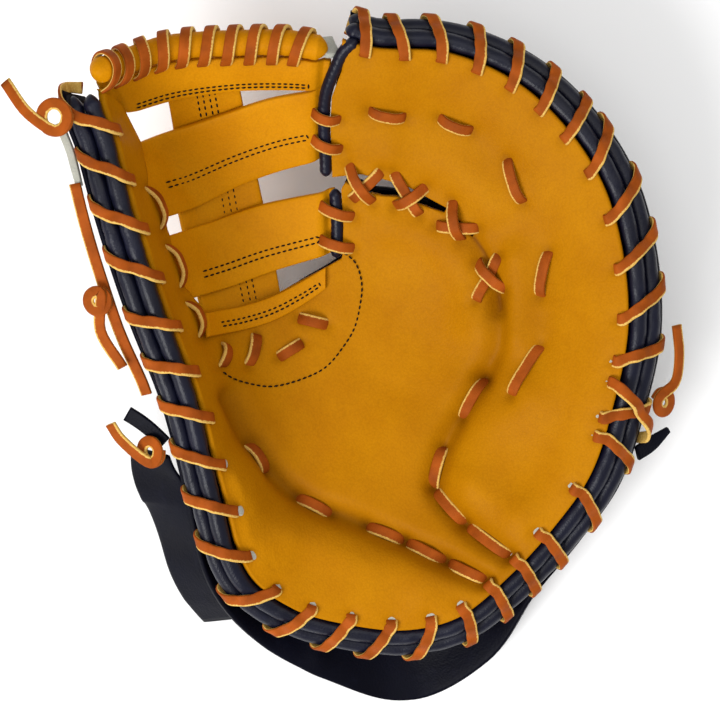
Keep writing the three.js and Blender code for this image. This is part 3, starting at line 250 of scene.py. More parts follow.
def column(name, share):
    """A column of the rim's table, by a cubic through its rows."""
    values = RIM[:, RIM_COLUMNS.index(name)]
    t = np.interp(np.mod(share, 1), rim_shares, rim_rows)
    row = np.floor(t).astype(int)
    f = t - row
    before, here, after, beyond = (values[(row + k) % len(RIM)] for k in (-1, 0, 1, 2))
    slope_a, slope_b = (after - before) / 2, (beyond - here) / 2
    return ((2 * f ** 3 - 3 * f ** 2 + 1) * here + (f ** 3 - 2 * f ** 2 + f) * slope_a
            + (3 * f ** 2 - 2 * f ** 3) * after + (f ** 3 - f ** 2) * slope_b)


def locate(xy):
    """Share of the rim and share of the way out to it, of points in plan."""
    away = xy - POCKET
    angle = np.arctan2(away[..., 1], away[..., 0])
    angle = rim_bearings[0] + np.mod(angle - rim_bearings[0], 2 * np.pi)
    share = np.interp(angle, rim_bearings, rim_shares)
    return share, np.linalg.norm(away, axis=-1) / np.linalg.norm(rim_point(share) - POCKET, axis=-1)


def palm_height(share, out):
    """Height of the bowl: it climbs with a power of the way out and rounds over before the rim."""
    climb = np.power(np.maximum(out, 0), np.maximum(column("steep", share), 1))
    rounded = ROUND_OVER * SPAN * 0.5 * np.clip((out - 0.85) / 0.15, 0, 1.2) ** 2
    return POCKET_FLOOR + (column("rise", share) * DEPTH - POCKET_FLOOR) * climb - rounded


def palm_at(xy):
    """Point of the bowl above a point in plan."""
    xy = np.asarray(xy, float)
    return np.concatenate([xy, palm_height(*locate(xy))[..., None]], -1)


def palm_normal(xy):
    """The bowl's normal, from four points around."""
    xy = np.asarray(xy, float)
    step = 1.5
    a = palm_at(xy + (step, 0)) - palm_at(xy - (step, 0))
    b = palm_at(xy + (0, step)) - palm_at(xy - (0, step))
    return unit(np.cross(a, b))


def above(xy, lift):
    """Point at a height along the normal over the bowl."""
    return palm_at(xy) + palm_normal(xy) * np.asarray(lift)[..., None]


def palm_point(share, out):
    """Point of the bowl at a share of the rim and a share of the way out."""
    xy = POCKET + (rim_point(share) - POCKET) * np.asarray(out)[..., None]
    return np.concatenate([xy, palm_height(share, out)[..., None]], -1)


def rim_row(share):
    """Middles of both rolls, where the back's edge begins, and the row's two directions."""
    share = np.asarray(share, float)
    ahead = rim_point(share + 0.0005) - rim_point(share - 0.0005)
    along = unit(np.concatenate([ahead, np.zeros(share.shape + (1,))], -1))
    outward = np.stack([along[..., 1], -along[..., 0], np.zeros(share.shape)], -1)
    tilt = np.radians(column("tilt", share))[..., None]
    up = np.array([0.0, 0.0, 1.0])
    row = outward * np.cos(tilt) - up * np.sin(tilt)
    away = outward * np.sin(tilt) + up * np.cos(tilt)
    edge = palm_point(share, np.ones(share.shape))
    normal = palm_normal(edge[..., :2])
    beyond = unit(np.cross(along, normal) - normal)
    first = edge - normal * PALM_WALL / 2 + beyond * ((PALM_WALL + ROLL_DIAMETER) / 2 + CLEARANCE)
    second = first + row * (ROLL_DIAMETER + 2 * CLEARANCE)
    entry = (column("entry", share) * SPAN)[..., None]
    rear = second + row * (ROLL_DIAMETER / 2 + 2 * CLEARANCE + entry)
    return {"first": first, "second": second, "rear": rear, "row": row, "away": away,
            "along": along}


def nearest_on(chain, xy):
    """Nearest point of a chain of points in plan, and the distance to it."""
    a, b = chain[:-1], chain[1:]
    best = np.full(len(xy), np.inf)
    place = np.zeros_like(xy)
    for start, end in zip(a, b):
        run = end - start
        t = np.clip((xy - start) @ run / (run @ run), 0, 1)
        foot = start + t[:, None] * run
        gap = np.linalg.norm(xy - foot, axis=1)
        nearer = gap < best
        best[nearer] = gap[nearer]
        place[nearer] = foot[nearer]
    return place, best


def gap_to(chain, xy, samples=8):
    """Distance in plan to a smooth line through a chain of points given in shares of SPAN."""
    line, _ = catmull(np.array(chain) * SPAN, samples)
    return nearest_on(line, xy)[1]


INNER_EDGES = [THUMB_EDGE * SPAN, BASE_EDGE * SPAN,
               np.concatenate([PALM_EDGE, SLIT_PALM_SIDE[:5]]) * SPAN,
               np.concatenate([SLIT_FINGER_SIDE[4:], FINGER_EDGE]) * SPAN]


def back_point(xy):
    """The back: below the palm by the depth of the hollow, thin beside the web, and at the rim it
    ends at the far side of the rolls. It is flat where it would pass below the surface."""
    share, out = locate(xy)
    top = palm_at(xy)
    inward = -palm_normal(xy)
    rows = rim_row(share)
    edge = palm_point(share, np.ones(share.shape))
    to_edge = rows["rear"] + rows["row"] * BACK_WALL - edge
    near = ease(0.76, 1, out)[:, None]
    direction = unit(inward * (1 - near) + unit(to_edge) * near)
    gap = np.min([nearest_on(chain, xy)[1] for chain in INNER_EDGES], axis=0)
    deep = (POCKET_STALL + (column("stall", share) - POCKET_STALL) * ease(0, 0.5, out)) * SPAN
    hollow = SEAM_THICKNESS + (deep - SEAM_THICKNESS) * ease(0, SEAM_REACH * SPAN, gap)
    depth = hollow[:, None] * (1 - near) + np.linalg.norm(to_edge, axis=-1, keepdims=True) * near
    point = top + direction * depth
    point[:, 2] = np.maximum(point[:, 2], 0)
    return point


# Meshes
def build(name, points, quads, material, uv=None, slot=None, nodes=(), inner=None):
    """A piece from points in millimetres and rows of four corners."""
    mesh = bpy.data.meshes.new(name)
    points = (np.asarray(points, float) - MIDDLE) * MM
    quads = np.asarray(quads, np.int32)
    mesh.vertices.add(len(points))
    mesh.vertices.foreach_set("co", points.astype(np.float32).ravel())
    mesh.loops.add(quads.size)
    mesh.loops.foreach_set("vertex_index", quads.ravel())
    mesh.polygons.add(len(quads))
    mesh.polygons.foreach_set("loop_start", np.arange(0, quads.size, quads.shape[1], dtype=np.int32))
    mesh.update(calc_edges=True)
    mesh.validate()
    mesh.polygons.foreach_set("use_smooth", np.ones(len(mesh.polygons), bool))
    if uv is not None:
        layer = mesh.uv_layers.new(name="across_along")
        corners = np.empty(len(mesh.loops), np.int32)
        mesh.loops.foreach_get("vertex_index", corners)
        layer.data.foreach_set("uv", np.asarray(uv, np.float32)[corners].ravel())
    piece = bpy.data.objects.new(name, mesh)
    bpy.context.scene.collection.objects.link(piece)
    mesh.materials.append(material)
    if inner is not None:
        mesh.materials.append(inner)
    if nodes:
        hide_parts(*nodes)
    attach(piece, "root")
    return piece


def grid_quads(n, m, wrap_n=False, wrap_m=False):
    """Corner numbers of a grid of n by m points."""
    i = np.arange(n if wrap_n else n - 1)
    j = np.arange(m if wrap_m else m - 1)
    i, j = (k.ravel() for k in np.meshgrid(i, j, indexing="ij"))
    i2, j2 = (i + 1) % n, (j + 1) % m
    return np.stack([i * m + j, i2 * m + j, i2 * m + j2, i * m + j2], 1)


def sweep(points, ups, section, wide=None):
    """A section carried along a path: points n by 3, its up directions and the section's (side, up)
    pairs, m by 2. Each end is drawn in to a point. Returns points, corners and (across, along)."""
    along = unit(np.gradient(points, axis=0))
    side = unit(np.cross(ups, along))
    up = np.cross(along, side)
    factor = np.ones(len(points)) if wide is None else np.asarray(wide)
    section = np.asarray(section)
    if section.ndim == 2:
        section = np.repeat(section[None], len(points), 0)
    body = (points[:, None] + side[:, None] * section[..., :1] * factor[:, None, None]
            + up[:, None] * section[..., 1:])
    body = np.concatenate([points[:1, None].repeat(body.shape[1], 1), body,
                           points[-1:, None].repeat(body.shape[1], 1)])
    n, m = body.shape[:2]
    run = run_along(body.mean(1))
    uv = np.stack(np.broadcast_arrays(np.arange(m)[None] / m, run[:, None] * MM), -1)
    return body.reshape(-1, 3), grid_quads(n, m, wrap_m=True)[:, ::-1], uv.reshape(-1, 2)


def round_tube(points, ups, run, angle, radius, end):
    """A round tube along a path, its radius given along and round it, rounded over a length at
    both ends."""
    rounding = np.sqrt(np.clip(np.minimum(run - run[0], run[-1] - run) / end, 0.02, 1))
    section = np.stack([radius * np.cos(angle), radius * np.sin(angle)], -1)
    return sweep(points, ups, section * rounding[:, None, None])


class Heap:
    """Several swept bodies gathered for one mesh."""

    def __init__(self):
        """An empty heap."""
        self.points, self.quads, self.uv, self.count = [], [], [], 0

    def add(self, points, quads, uv):
        """Puts one more body on the heap."""
        self.points.append(points)
        self.quads.append(quads + self.count)
        self.uv.append(uv)
        self.count += len(points)

    def build(self, name, material, **more):
        """Makes one piece of all the bodies."""
        return build(name, np.concatenate(self.points), np.concatenate(self.quads), material,
                     uv=np.concatenate(self.uv), **more)


def flat_section(width, thick, corners=14, square=0.42):
    """A flat strap's section: an ellipse squared off by a power."""
    angle = np.linspace(0, 2 * np.pi, corners, endpoint=False)
    c, s = np.cos(angle), np.sin(angle)
    return np.stack([np.sign(c) * np.abs(c) ** square * width / 2,
                     np.sign(s) * np.abs(s) ** square * thick / 2], 1)


def smooth_path(points, ups, samples):
    """A path and its up directions, rounded through their points."""
    path, rows = catmull(points, samples)
    index = np.arange(len(points))
    up = unit(np.stack([np.interp(rows, index, np.asarray(ups)[:, k]) for k in range(3)], 1))
    return path, up


# Finishes
def linear(code):
    """A hex sRGB colour as linear RGBA."""
    srgb = np.array([int(code[k:k + 2], 16) for k in (1, 3, 5)]) / 255
    rgb = np.where(srgb <= 0.04045, srgb / 12.92, ((srgb + 0.055) / 1.055) ** 2.4)
    return (*rgb, 1.0)


def add_node(tree, kind, settings=None, **links):
    """A node with its settings; a link's value is an output socket or a plain number or colour."""
    node = tree.nodes.new("ShaderNode" + kind)
    for key, value in (settings or {}).items():
        setattr(node, key, value)
    for key, value in links.items():
        socket = node.inputs[int(key[1:])] if key[1:].isdigit() else node.inputs[key.replace("_", " ")]
        if isinstance(value, bpy.types.NodeSocket):
            tree.links.new(value, socket)
        else:
            socket.default_value = value
    return node


def ramp(tree, value, stops):
    """A colour ramp over a value: stops of place and colour."""
    node = add_node(tree, "ValToRGB", Fac=value)
    while len(node.color_ramp.elements) < len(stops):
        node.color_ramp.elements.new(0.5)
    for element, (place, colour) in zip(node.color_ramp.elements, stops):
        element.position = place
        element.color = linear(colour) if isinstance(colour, str) else (colour,) * 3 + (1,)
    return node.outputs["Color"]


def fresh(name):
    """An empty material with its shader."""
    material = bpy.data.materials.new(name)
    material.use_nodes = True
    tree = material.node_tree
    return material, tree, tree.nodes["Principled BSDF"]


def mixed(tree, share, a, b, blend="MIX"):
    """Two colours mixed by a share."""
    node = add_node(tree, "Mix", {"data_type": "RGBA", "blend_type": blend})
    for socket, value in zip((node.inputs[0], node.inputs[6], node.inputs[7]), (share, a, b)):
        if isinstance(value, bpy.types.NodeSocket):
            tree.links.new(value, socket)
        else:
            socket.default_value = linear(value) if isinstance(value, str) else value
    return node.outputs[2]


def leather(name, light, dark, worn, grain_mm, roughness, bump, patch, gloss_level, painted_shade=None):
    """Full-grain cowhide, drum dyed and oiled: a pebbled grain, cloudy dye and soft gloss. Where the
    first UV coordinate says so, the colour is mixed toward a darker one: painted shade."""
    material, tree, shader = fresh(name)
    place = add_node(tree, "TexCoord").outputs["Object"]
    cloud = add_node(tree, "TexNoise", Vector=place, Scale=28.0, Detail=5.0, Roughness=0.6)
    tone = ramp(tree, cloud.outputs["Fac"], [(0.3, dark), (0.7, light)])
    grain = add_node(tree, "TexVoronoi", {"feature": "SMOOTH_F1"}, Vector=place,
                     Scale=1 / (grain_mm * MM), Smoothness=0.6, Randomness=1.0)
    pores = add_node(tree, "TexNoise", Vector=place, Scale=1 / (0.5 * MM), Detail=3.0)
    creases = add_node(tree, "TexNoise", Vector=place, Scale=1 / (9 * MM), Detail=6.0,
                       Roughness=0.62, Distortion=0.8)
    scuffs = ramp(tree, creases.outputs["Fac"], [(0.58, 0.0), (0.72, 1.0)])
    scuffed = mixed(tree, add_node(tree, "Math", {"operation": "MULTIPLY"}, _0=scuffs,
                                   _1=patch).outputs[0], tone, worn)
    valleys = ramp(tree, grain.outputs["Distance"], [(0.25, 1.0), (0.75, 0.92)])
    shader_colour = mixed(tree, 1.0, scuffed, valleys, "MULTIPLY")
    # Painted shade: the first UV coordinate darkens the colour in creases, round holes and along the
    # closed slit
    if painted_shade:
        depth = add_node(tree, "SeparateXYZ", Vector=add_node(tree, "TexCoord").outputs["UV"])
        shader_colour = mixed(tree, depth.outputs["X"], shader_colour, painted_shade)
    tree.links.new(shader_colour, shader.inputs["Base Color"])
    gloss = add_node(tree, "MapRange", Value=cloud.outputs["Fac"], To_Min=roughness - 0.07,
                     To_Max=roughness + 0.09)
    tree.links.new(gloss.outputs[0], shader.inputs["Roughness"])
    shader.inputs["IOR"].default_value = 1.48
    shader.inputs["Specular IOR Level"].default_value = gloss_level
    low = add_node(tree, "Bump", Strength=bump * 0.5, Distance=0.0009,
                   Height=creases.outputs["Fac"])
    mid = add_node(tree, "Bump", {"invert": True}, Strength=bump, Distance=0.00025,
                   Height=grain.outputs["Distance"], Normal=low.outputs[0])
    fine = add_node(tree, "Bump", Strength=bump * 0.6, Distance=0.00008,
                    Height=pores.outputs["Fac"], Normal=mid.outputs[0])
    tree.links.new(fine.outputs[0], shader.inputs["Normal"])
    return material


def rawhide(name, face, shade, edge):
    """Rawhide lace cut from an oil-tanned side: a dyed smooth face, and pale fibrous cut edges and
    flesh side. Across runs round the section from one edge, so the edges lie at 0 and at a half."""
    material, tree, shader = fresh(name)
    place = add_node(tree, "TexCoord")
    across = add_node(tree, "SeparateXYZ", Vector=place.outputs["UV"]).outputs["X"]
    cloud = add_node(tree, "TexNoise", Vector=place.outputs["Object"], Scale=90.0, Detail=5.0)
    tone = ramp(tree, cloud.outputs["Fac"], [(0.3, shade), (0.7, face)])
    fibres = add_node(tree, "TexNoise", Vector=place.outputs["Object"], Scale=1 / (0.9 * MM),
                      Detail=6.0, Roughness=0.7)
    ragged = add_node(tree, "Math", {"operation": "MULTIPLY_ADD"}, _0=fibres.outputs["Fac"],
                      _1=0.13, _2=across).outputs[0]
    raw = ramp(tree, ragged, [(0.0, 0.0), (0.37, 0.0), (0.40, 1.0), (0.97, 1.0), (1.0, 0.6)])
    pale = ramp(tree, fibres.outputs["Fac"], [(0.3, edge), (0.75, "#DFBE6C")])
    colour = mixed(tree, raw, tone, pale)
    tree.links.new(colour, shader.inputs["Base Color"])
    shader.inputs["Roughness"].default_value = 0.58
    shader.inputs["IOR"].default_value = 1.45
    shader.inputs["Specular IOR Level"].default_value = 0.07
    rough = add_node(tree, "Bump", Strength=0.55, Distance=0.00035, Height=fibres.outputs["Fac"])
    tree.links.new(rough.outputs[0], shader.inputs["Normal"])
    return material


def felt(name, light, dark):
    """Grey wool felt: matted fibres with no gloss."""
    material, tree, shader = fresh(name)
    place = add_node(tree, "TexCoord").outputs["Object"]
    fibre = add_node(tree, "TexNoise", Vector=place, Scale=1 / (1.1 * MM), Detail=8.0,
                     Roughness=0.75, Distortion=1.2)
    colour = ramp(tree, fibre.outputs["Fac"], [(0.3, dark), (0.7, light)])
    tree.links.new(colour, shader.inputs["Base Color"])
    shader.inputs["Roughness"].default_value = 0.95
    shader.inputs["Sheen Weight"].default_value = 0.3
    bump = add_node(tree, "Bump", Strength=0.7, Distance=0.0006, Height=fibre.outputs["Fac"])
    tree.links.new(bump.outputs[0], shader.inputs["Normal"])
    return material


def thread(name, colour):
    """Waxed black nylon thread, twisted: fine slanting ridges and a soft gloss."""
    material, tree, shader = fresh(name)
    place = add_node(tree, "TexCoord").outputs["Object"]
    twist = add_node(tree, "TexWave", Vector=place, Scale=1 / (1.4 * MM))
    shader.inputs["Base Color"].default_value = linear(colour)
    shader.inputs["Roughness"].default_value = 0.5
    shader.inputs["Specular IOR Level"].default_value = 0.1
    bump = add_node(tree, "Bump", Strength=0.4, Distance=0.0001, Height=twist.outputs["Fac"])
    tree.links.new(bump.outputs[0], shader.inputs["Normal"])
    return material


# The palm's cowhide carries a dark colour for painted shade in its creases, round its holes and along the
# closed slit
tan_cowhide = leather("oiled_tan_cowhide", "#B07303", "#A36601", "#905600", 1.1, 0.50, 0.4, 0.22, 0.035,
                      painted_shade="#693A00")
# The web's cowhide is the palm's cowhide made lighter: painted light, for the web bars face the key light
web_cowhide = leather("web_tan_cowhide", "#C28006", "#B47202", "#9E6000", 1.1, 0.48, 0.4, 0.25, 0.035)
black_cowhide = leather("black_cowhide", "#0A0B17", "#07070F", "#171826", 1.0, 0.42, 0.45, 0.3, 0.05)
binding_leather = leather("black_binding_leather", "#0D0F22", "#080917", "#1B1D32", 0.9, 0.36, 0.35, 0.3,
                          0.24)
lace_rawhide = rawhide("oil_tanned_lace", "#9F4C12", "#7C390A", "#B98A38")
grey_felt = felt("grey_wool_felt", "#B4B4A8", "#8E8E84")
black_thread = thread("waxed_black_thread", "#08080C")

# Palm
# The web opening with the slit as far as it gapes; from there on its two lips touch
OPENING = np.concatenate([THUMB_EDGE, BASE_EDGE[1:], PALM_EDGE, SLIT_PALM_SIDE[:6],
                          SLIT_FINGER_SIDE[3:], FINGER_EDGE, WEB_BEYOND]) * SPAN
CLOSED_SLIT = np.array([(0.190, 0.205), (0.215, 0.165), (0.229, 0.115), (0.232, 0.085)])


def inside(outline, xy):
    """Even and odd rule: is each point inside a closed outline."""
    a, b = outline, np.roll(outline, -1, axis=0)
    hit = np.zeros(len(xy), bool)
    for (ax, ay), (bx, by) in zip(a, b):
        crosses = (ay > xy[:, 1]) != (by > xy[:, 1])
        at = ax + (xy[:, 1] - ay) / np.where(by == ay, 1e-9, by - ay) * (bx - ax)
        hit ^= crosses & (xy[:, 0] < at)
    return hit


# Steps round the rim and out to it
PALM_GRID = (430, 100)
BACK_GRID = (360, 80)


def trimmed_polar(around, steps):
    """A polar grid of the plan out to the rim, without what lies in the opening. The last points
    that reach into it are drawn back to its edge."""
    share = np.arange(around) / around
    out = np.linspace(0.004, 1, steps)
    xy = POCKET + (rim_point(share)[:, None] - POCKET) * out[None, :, None]
    xy = xy.reshape(-1, 2)
    quads = grid_quads(around, steps, wrap_n=True)
    within = inside(OPENING, xy)
    quads = quads[~within[quads].all(1)]
    border = np.append(OPENING, OPENING[:1], axis=0)
    reach = np.unique(quads[within[quads]])
    foot, _ = nearest_on(border, xy[reach])
    xy[reach] = foot
    hub = np.arange(around)[::-1] * steps
    used = np.unique(np.concatenate([quads.ravel(), hub]))
    number = np.full(len(xy), -1)
    number[used] = np.arange(len(used))
    return xy[used], number[quads], number[hub]


# Valleys and swells of the palm, shares of SPAN: chain of points, width and depth in mm
VALLEYS = [
    ([(-0.215, -0.060), (-0.178, -0.137), (-0.103, -0.230), (0.013, -0.280), (0.138, -0.336),
      (0.215, -0.378)], 5.5, 7.0),
    ([(0.204, -0.033), (0.165, -0.100), (0.137, -0.160), (0.128, -0.220), (0.165, -0.268),
      (0.250, -0.333)], 5.5, 6.5),
    ([(0.232, 0.100), (0.235, 0.030), (0.205, -0.030)], 5.0, 4.0),
    ([(0.190, 0.203), (0.213, 0.163), (0.227, 0.113), (0.232, 0.083)], 4.0, 3.4),
    ([(0.313, 0.190), (0.300, 0.100), (0.302, 0.025), (0.258, -0.060)], 9.0, 1.6),
    ([(0.013, 0.413), (0.110, 0.404), (0.187, 0.380), (0.250, 0.320)], 9.0, 1.4),
]
SWELLS = [
    ([(-0.110, -0.305), (0.000, -0.345), (0.100, -0.375)], 15.0, 6.0),
    ([(-0.200, -0.210), (-0.160, -0.290)], 14.0, 4.4),
    ([(0.190, -0.190), (0.225, -0.120), (0.275, -0.060)], 15.0, 6.0),
    ([(0.200, -0.225), (0.260, -0.260)], 12.0, 4.0),
    ([(0.010, -0.210), (0.070, -0.120)], 18.0, 3.4),
    ([(0.060, 0.225), (0.130, 0.200), (0.180, 0.140), (0.200, 0.060)], 12.0, 4.0),
    ([(0.262, 0.170), (0.268, 0.110), (0.265, 0.040)], 9.0, 4.0),
    ([(0.060, 0.345), (0.150, 0.325), (0.220, 0.260)], 12.0, 3.4),
]

# Dimple round a lace hole and the leather's slow ripple, mm. Then how dark the painted shade is: in a
# crease per mm of depth over shares of its width, round a hole and along the closed slit over mm
DIMPLE_DEPTH = 1.4
DIMPLE_WIDTH = 3.5
RIPPLE_HEIGHT = 0.35
CREASE_SHADES = ((0.05, 0.6), (0.03, 2.5))
HOLE_SHADE, HOLE_SHADE_WIDTH = 0.35, 2.6
SLIT_SHADE, SLIT_SHADE_WIDTH = 0.8, 1.1
DARKEST = 0.9


def hole_places():
    """Where laces enter the palm, in plan."""
    places = []
    for _, stretches in RUNNING.values():
        rows = np.array(stretches) * SPAN
        places += [rows[:, :2], rows[:, 2:]]
    for loops, start, end, _, _ in THUMB_RUNS + FINGER_RUNS:
        places.append(palm_hole(np.linspace(start, end, loops))[0])
    return np.concatenate(places)


def palm_hole(share):
    """Middle of a rim loop's hole in plan, and the direction out to the rim along the leather."""
    edge = palm_point(share, np.ones(np.shape(share)))
    normal = palm_normal(edge[..., :2])
    out_along = unit(np.cross(rim_row(share)["along"], normal))
    return (edge - out_along * HOLE_SETBACK)[..., :2], out_along


def relief(xy):
    """Height over the bowl: valleys along creases, swells of padding and dimples at the holes."""
    lift = np.zeros(len(xy))
    for chain, width, depth in VALLEYS:
        lift -= depth * np.exp(-(gap_to(chain, xy) / width) ** 2)
    for chain, width, height in SWELLS:
        lift += height * np.exp(-(gap_to(chain, xy) / width) ** 2)
    for hole in hole_places():
        lift -= DIMPLE_DEPTH * np.exp(-(np.linalg.norm(xy - hole, axis=1) / DIMPLE_WIDTH) ** 2)
    ripple = (np.sin(xy[:, 0] * 0.11 + 1.7 * np.sin(xy[:, 1] * 0.043))
              * np.sin(xy[:, 1] * 0.097 + 1.3 * np.sin(xy[:, 0] * 0.051)))
    return lift + RIPPLE_HEIGHT * ripple


def painted_shade_share(xy):
    """How much painted shade darkens the palm, 0 to 1: along creases, round the lace holes and in
    the narrow end of the slit, where its two lips touch."""
    share = np.zeros(len(xy))
    for chain, width, depth in VALLEYS:
        gap = gap_to(chain, xy)
        for strength, spread in CREASE_SHADES:
            share += depth * strength * np.exp(-(gap / (spread * width)) ** 2)
    for hole in hole_places():
        share += HOLE_SHADE * np.exp(-(np.linalg.norm(xy - hole, axis=1) / HOLE_SHADE_WIDTH) ** 2)
    share += SLIT_SHADE * np.exp(-(gap_to(CLOSED_SLIT, xy, 12) / SLIT_SHADE_WIDTH) ** 2)
    return np.clip(share, 0, DARKEST)


def make_palm():
    """The palm leather over the bowl, with felt on its hidden side."""
    xy, quads, hub = trimmed_polar(*PALM_GRID)
    _, out = locate(xy)
    fade = 1 - ease(0.93, 1.0, out)
    points = palm_at(xy) + palm_normal(xy) * (relief(xy) * fade)[:, None]
    # Painted shade, carried to the material in the first UV coordinate
    painted_shade = painted_shade_share(xy)
    piece = build("palm_leather", points, quads, tan_cowhide, uv=np.stack([painted_shade, out], 1),
                  slot="palm_leather", nodes=["palm"], inner=grey_felt)
    cap_hub(piece, hub)
    wall = piece.modifiers.new("wall", "SOLIDIFY")
    wall.thickness = PALM_WALL * MM
    wall.offset = -1
    wall.material_offset = 1
    return piece


def cap_hub(piece, hub):
    """Closes the small ring in the middle of a polar grid."""
    body = bmesh.new()
    body.from_mesh(piece.data)
    body.verts.ensure_lookup_table()
    face = body.faces.new([body.verts[int(k)] for k in hub])
    face.smooth = True
    body.normal_update()
    bmesh.ops.recalc_face_normals(body, faces=body.faces)
    if face.normal.z < 0:
        bmesh.ops.reverse_faces(body, faces=body.faces)
    body.to_mesh(piece.data)
    body.free()


def make_back():
    """The back leather, hollow behind the palm, with its seams between the finger stalls."""
    xy, quads, hub = trimmed_polar(*BACK_GRID)
    points = back_point(xy)
    grooves = np.zeros(len(xy))
    for chain in BACK_SEAMS:
        grooves += SEAM_DEPTH * np.exp(-(gap_to(chain, xy) / SEAM_WIDTH) ** 2)
    lifted = points[:, 2] > 0.3
    points[lifted] += palm_normal(xy[lifted]) * grooves[lifted, None]
    piece = build("back_leather", points, quads, black_cowhide, slot="back_leather",
                  nodes=["finger_back", "thumb_back"])
    cap_hub(piece, hub)
    wall = piece.modifiers.new("wall", "SOLIDIFY")
    wall.thickness = BACK_WALL * MM
    wall.offset = 1
    return piece


# Seams of the back: depth and width in mm, and their lines, shares of SPAN in plan
SEAM_DEPTH = 1.6
SEAM_WIDTH = 4.0
BACK_SEAMS = [
    [(-0.100, 0.080), (-0.085, -0.100), (-0.060, -0.300), (-0.050, -0.420)],
    [(0.060, 0.480), (0.065, 0.250), (0.075, 0.000), (0.080, -0.200)],
    [(0.190, 0.440), (0.200, 0.220), (0.185, 0.000), (0.170, -0.200)],
    [(0.310, 0.380), (0.320, 0.180), (0.290, -0.020), (0.250, -0.220)],
]

# Rolls
LOOP_SHARES = np.concatenate([np.linspace(a, b, n) + 0.5 * lead * SPAN / RIM_LENGTH
                              for n, a, b, lead, _ in THUMB_RUNS + FINGER_RUNS])


def make_roll(name, which, phase):
    """A binding roll: a round tube, pinched under each lace and wrinkled between them."""
    share = np.linspace(RIM_START, RIM_END, 900)
    rows = rim_row(share)
    angle = np.linspace(0, 2 * np.pi, 22, endpoint=False)
    gap = np.min(np.abs(share[:, None] - LOOP_SHARES[None]), axis=1) * RIM_LENGTH
    pinch = np.exp(-(gap / 3.5) ** 2)
    s = share * RIM_LENGTH
    wrinkle = np.sin(s[:, None] * 0.42 + 2 * np.sin(angle[None] + phase) + 3 * np.sin(s[:, None] * 0.09))
    radius = ROLL_DIAMETER / 2 + 0.28 - 0.4 * pinch[:, None] + 0.1 * wrinkle * (1 - pinch[:, None])
    heap = Heap()
    heap.add(*round_tube(rows[which], rows["away"], s, angle, radius, 4.0))
    roll = heap.build(name, binding_leather, slot="binding_leather",
                      nodes=["palm_side_roll" if which == "first" else "back_side_roll"])


# Laces
lace_section = flat_section(LACE_WIDTH, LACE_THICK)

# Way of a rim loop round the rolls: share of the loop, roll, lean toward the row and extra height, mm
ROUND_ROLLS = [(0.08, "second", 0.97, 0.0), (0.2, "second", 0.72, 0.0), (0.34, "second", 0.2, 0.0),
               (0.5, "second", -0.45, -0.2), (0.64, "first", -0.02, 0.0),
               (0.78, "first", -0.62, 0.0), (0.9, "first", -0.95, 0.0)]


def rim_loop(hole, lead, lift_laces, raw_ahead):
    """One loop of the rim lacing: out of the back, over both rolls and down into the palm. Its raw
    edge faces ahead along the rim or back, by the way in which the path is run through."""
    lead = lead * SPAN / RIM_LENGTH
    lift = RIDE + 0.35 * LACE_THICK + lift_laces * LACE_THICK
    radius = ROLL_DIAMETER / 2
    points, ups = [], []
    start = rim_row(np.array(hole + lead))
    out_side = unit(start["away"] * -0.4 + start["row"] * 0.9)
    back_hole = start["second"] + start["row"] * radius - start["away"] * REAR_HOLE_SETBACK
    points.append(back_hole - out_side * (BACK_WALL + 2 * LACE_THICK))
    ups.append(-start["away"])
    points.append(back_hole + out_side * (1.2 * BACK_WALL + RIDE))
    ups.append(out_side)
    for step, roll, lean, extra in ROUND_ROLLS:
        rows = rim_row(np.array(hole + lead * (1 - step)))
        up = rows["row"] * lean + rows["away"] * np.sqrt(1 - lean ** 2)
        points.append(rows[roll] + up * (radius + lift + extra))
        ups.append(up)
    place, out_along = palm_hole(np.array(hole))
    up = palm_normal(place)
    top = palm_at(place)
    points.append(top + up * (RIDE + 0.2) + out_along * 2.4)
    ups.append(up)
    points.append(top + up * 0.1 + out_along * 0.4)
    ups.append(unit(up - out_along))
    points.append(top - up * (PALM_WALL + 2 * LACE_THICK))
    ups.append(-out_along)
    path, up = smooth_path(np.array(points), np.array(ups), 4)
    if not raw_ahead:
        path, up = path[::-1], up[::-1]
    jitter = 1 + 0.05 * np.sin(np.arange(len(path)) * 0.9 + hole * 311)
    return sweep(path, up, lace_section, jitter)


def make_rim_lace(name, runs, raw_ahead):
    """All loops of one strand of the rim lacing."""
    heap = Heap()
    for loops, start, end, lead, lift in runs:
        for hole in np.linspace(start, end, loops):
            heap.add(*rim_loop(hole, lead, lift, raw_ahead))
    return heap.build(name + "_loops", lace_rawhide, slot="lace_rawhide", nodes=[name])


# A running lace's stretch: share of its length, height in mm, in lace rides and in crowns, and lean
STRETCH = np.array([(0.02, -5.0, 0, 0, -1), (0.03, -0.6, 0, 0, -0.8), (0.12, 0.1, 1, 0, -0.25),
                    (0.3, 0.3, 1, 0.8, 0), (0.5, 0.3, 1, 1, 0), (0.7, 0.3, 1, 0.8, 0),
                    (0.88, 0.1, 1, 0, 0.25), (0.97, -0.6, 0, 0, 0.8), (0.98, -5.0, 0, 0, 1)])
SUNK = 0.5


def make_running_lace(name):
    """Visible stretches of a running lace, each dipping into the leather at both holes."""
    crown, stretches = RUNNING[name]
    heap = Heap()
    for row in np.array(stretches) * SPAN:
        start, end = row[:2], row[2:]
        along = unit(np.append(end - start, 0.0))
        shares, flat, rides, crowns, leans = STRETCH.T
        lifts = flat + rides * RIDE + crowns * crown
        xy = start + (end - start) * shares[:, None]
        points = above(xy, lifts - SUNK + relief(xy))
        ups = unit(palm_normal(xy) * (1 - np.abs(leans))[:, None] + along * leans[:, None])
        path, up = smooth_path(points, ups, 4)
        heap.add(*sweep(path, up, lace_section))
    return heap.build(name + "_run", lace_rawhide, slot="lace_rawhide", nodes=[name])


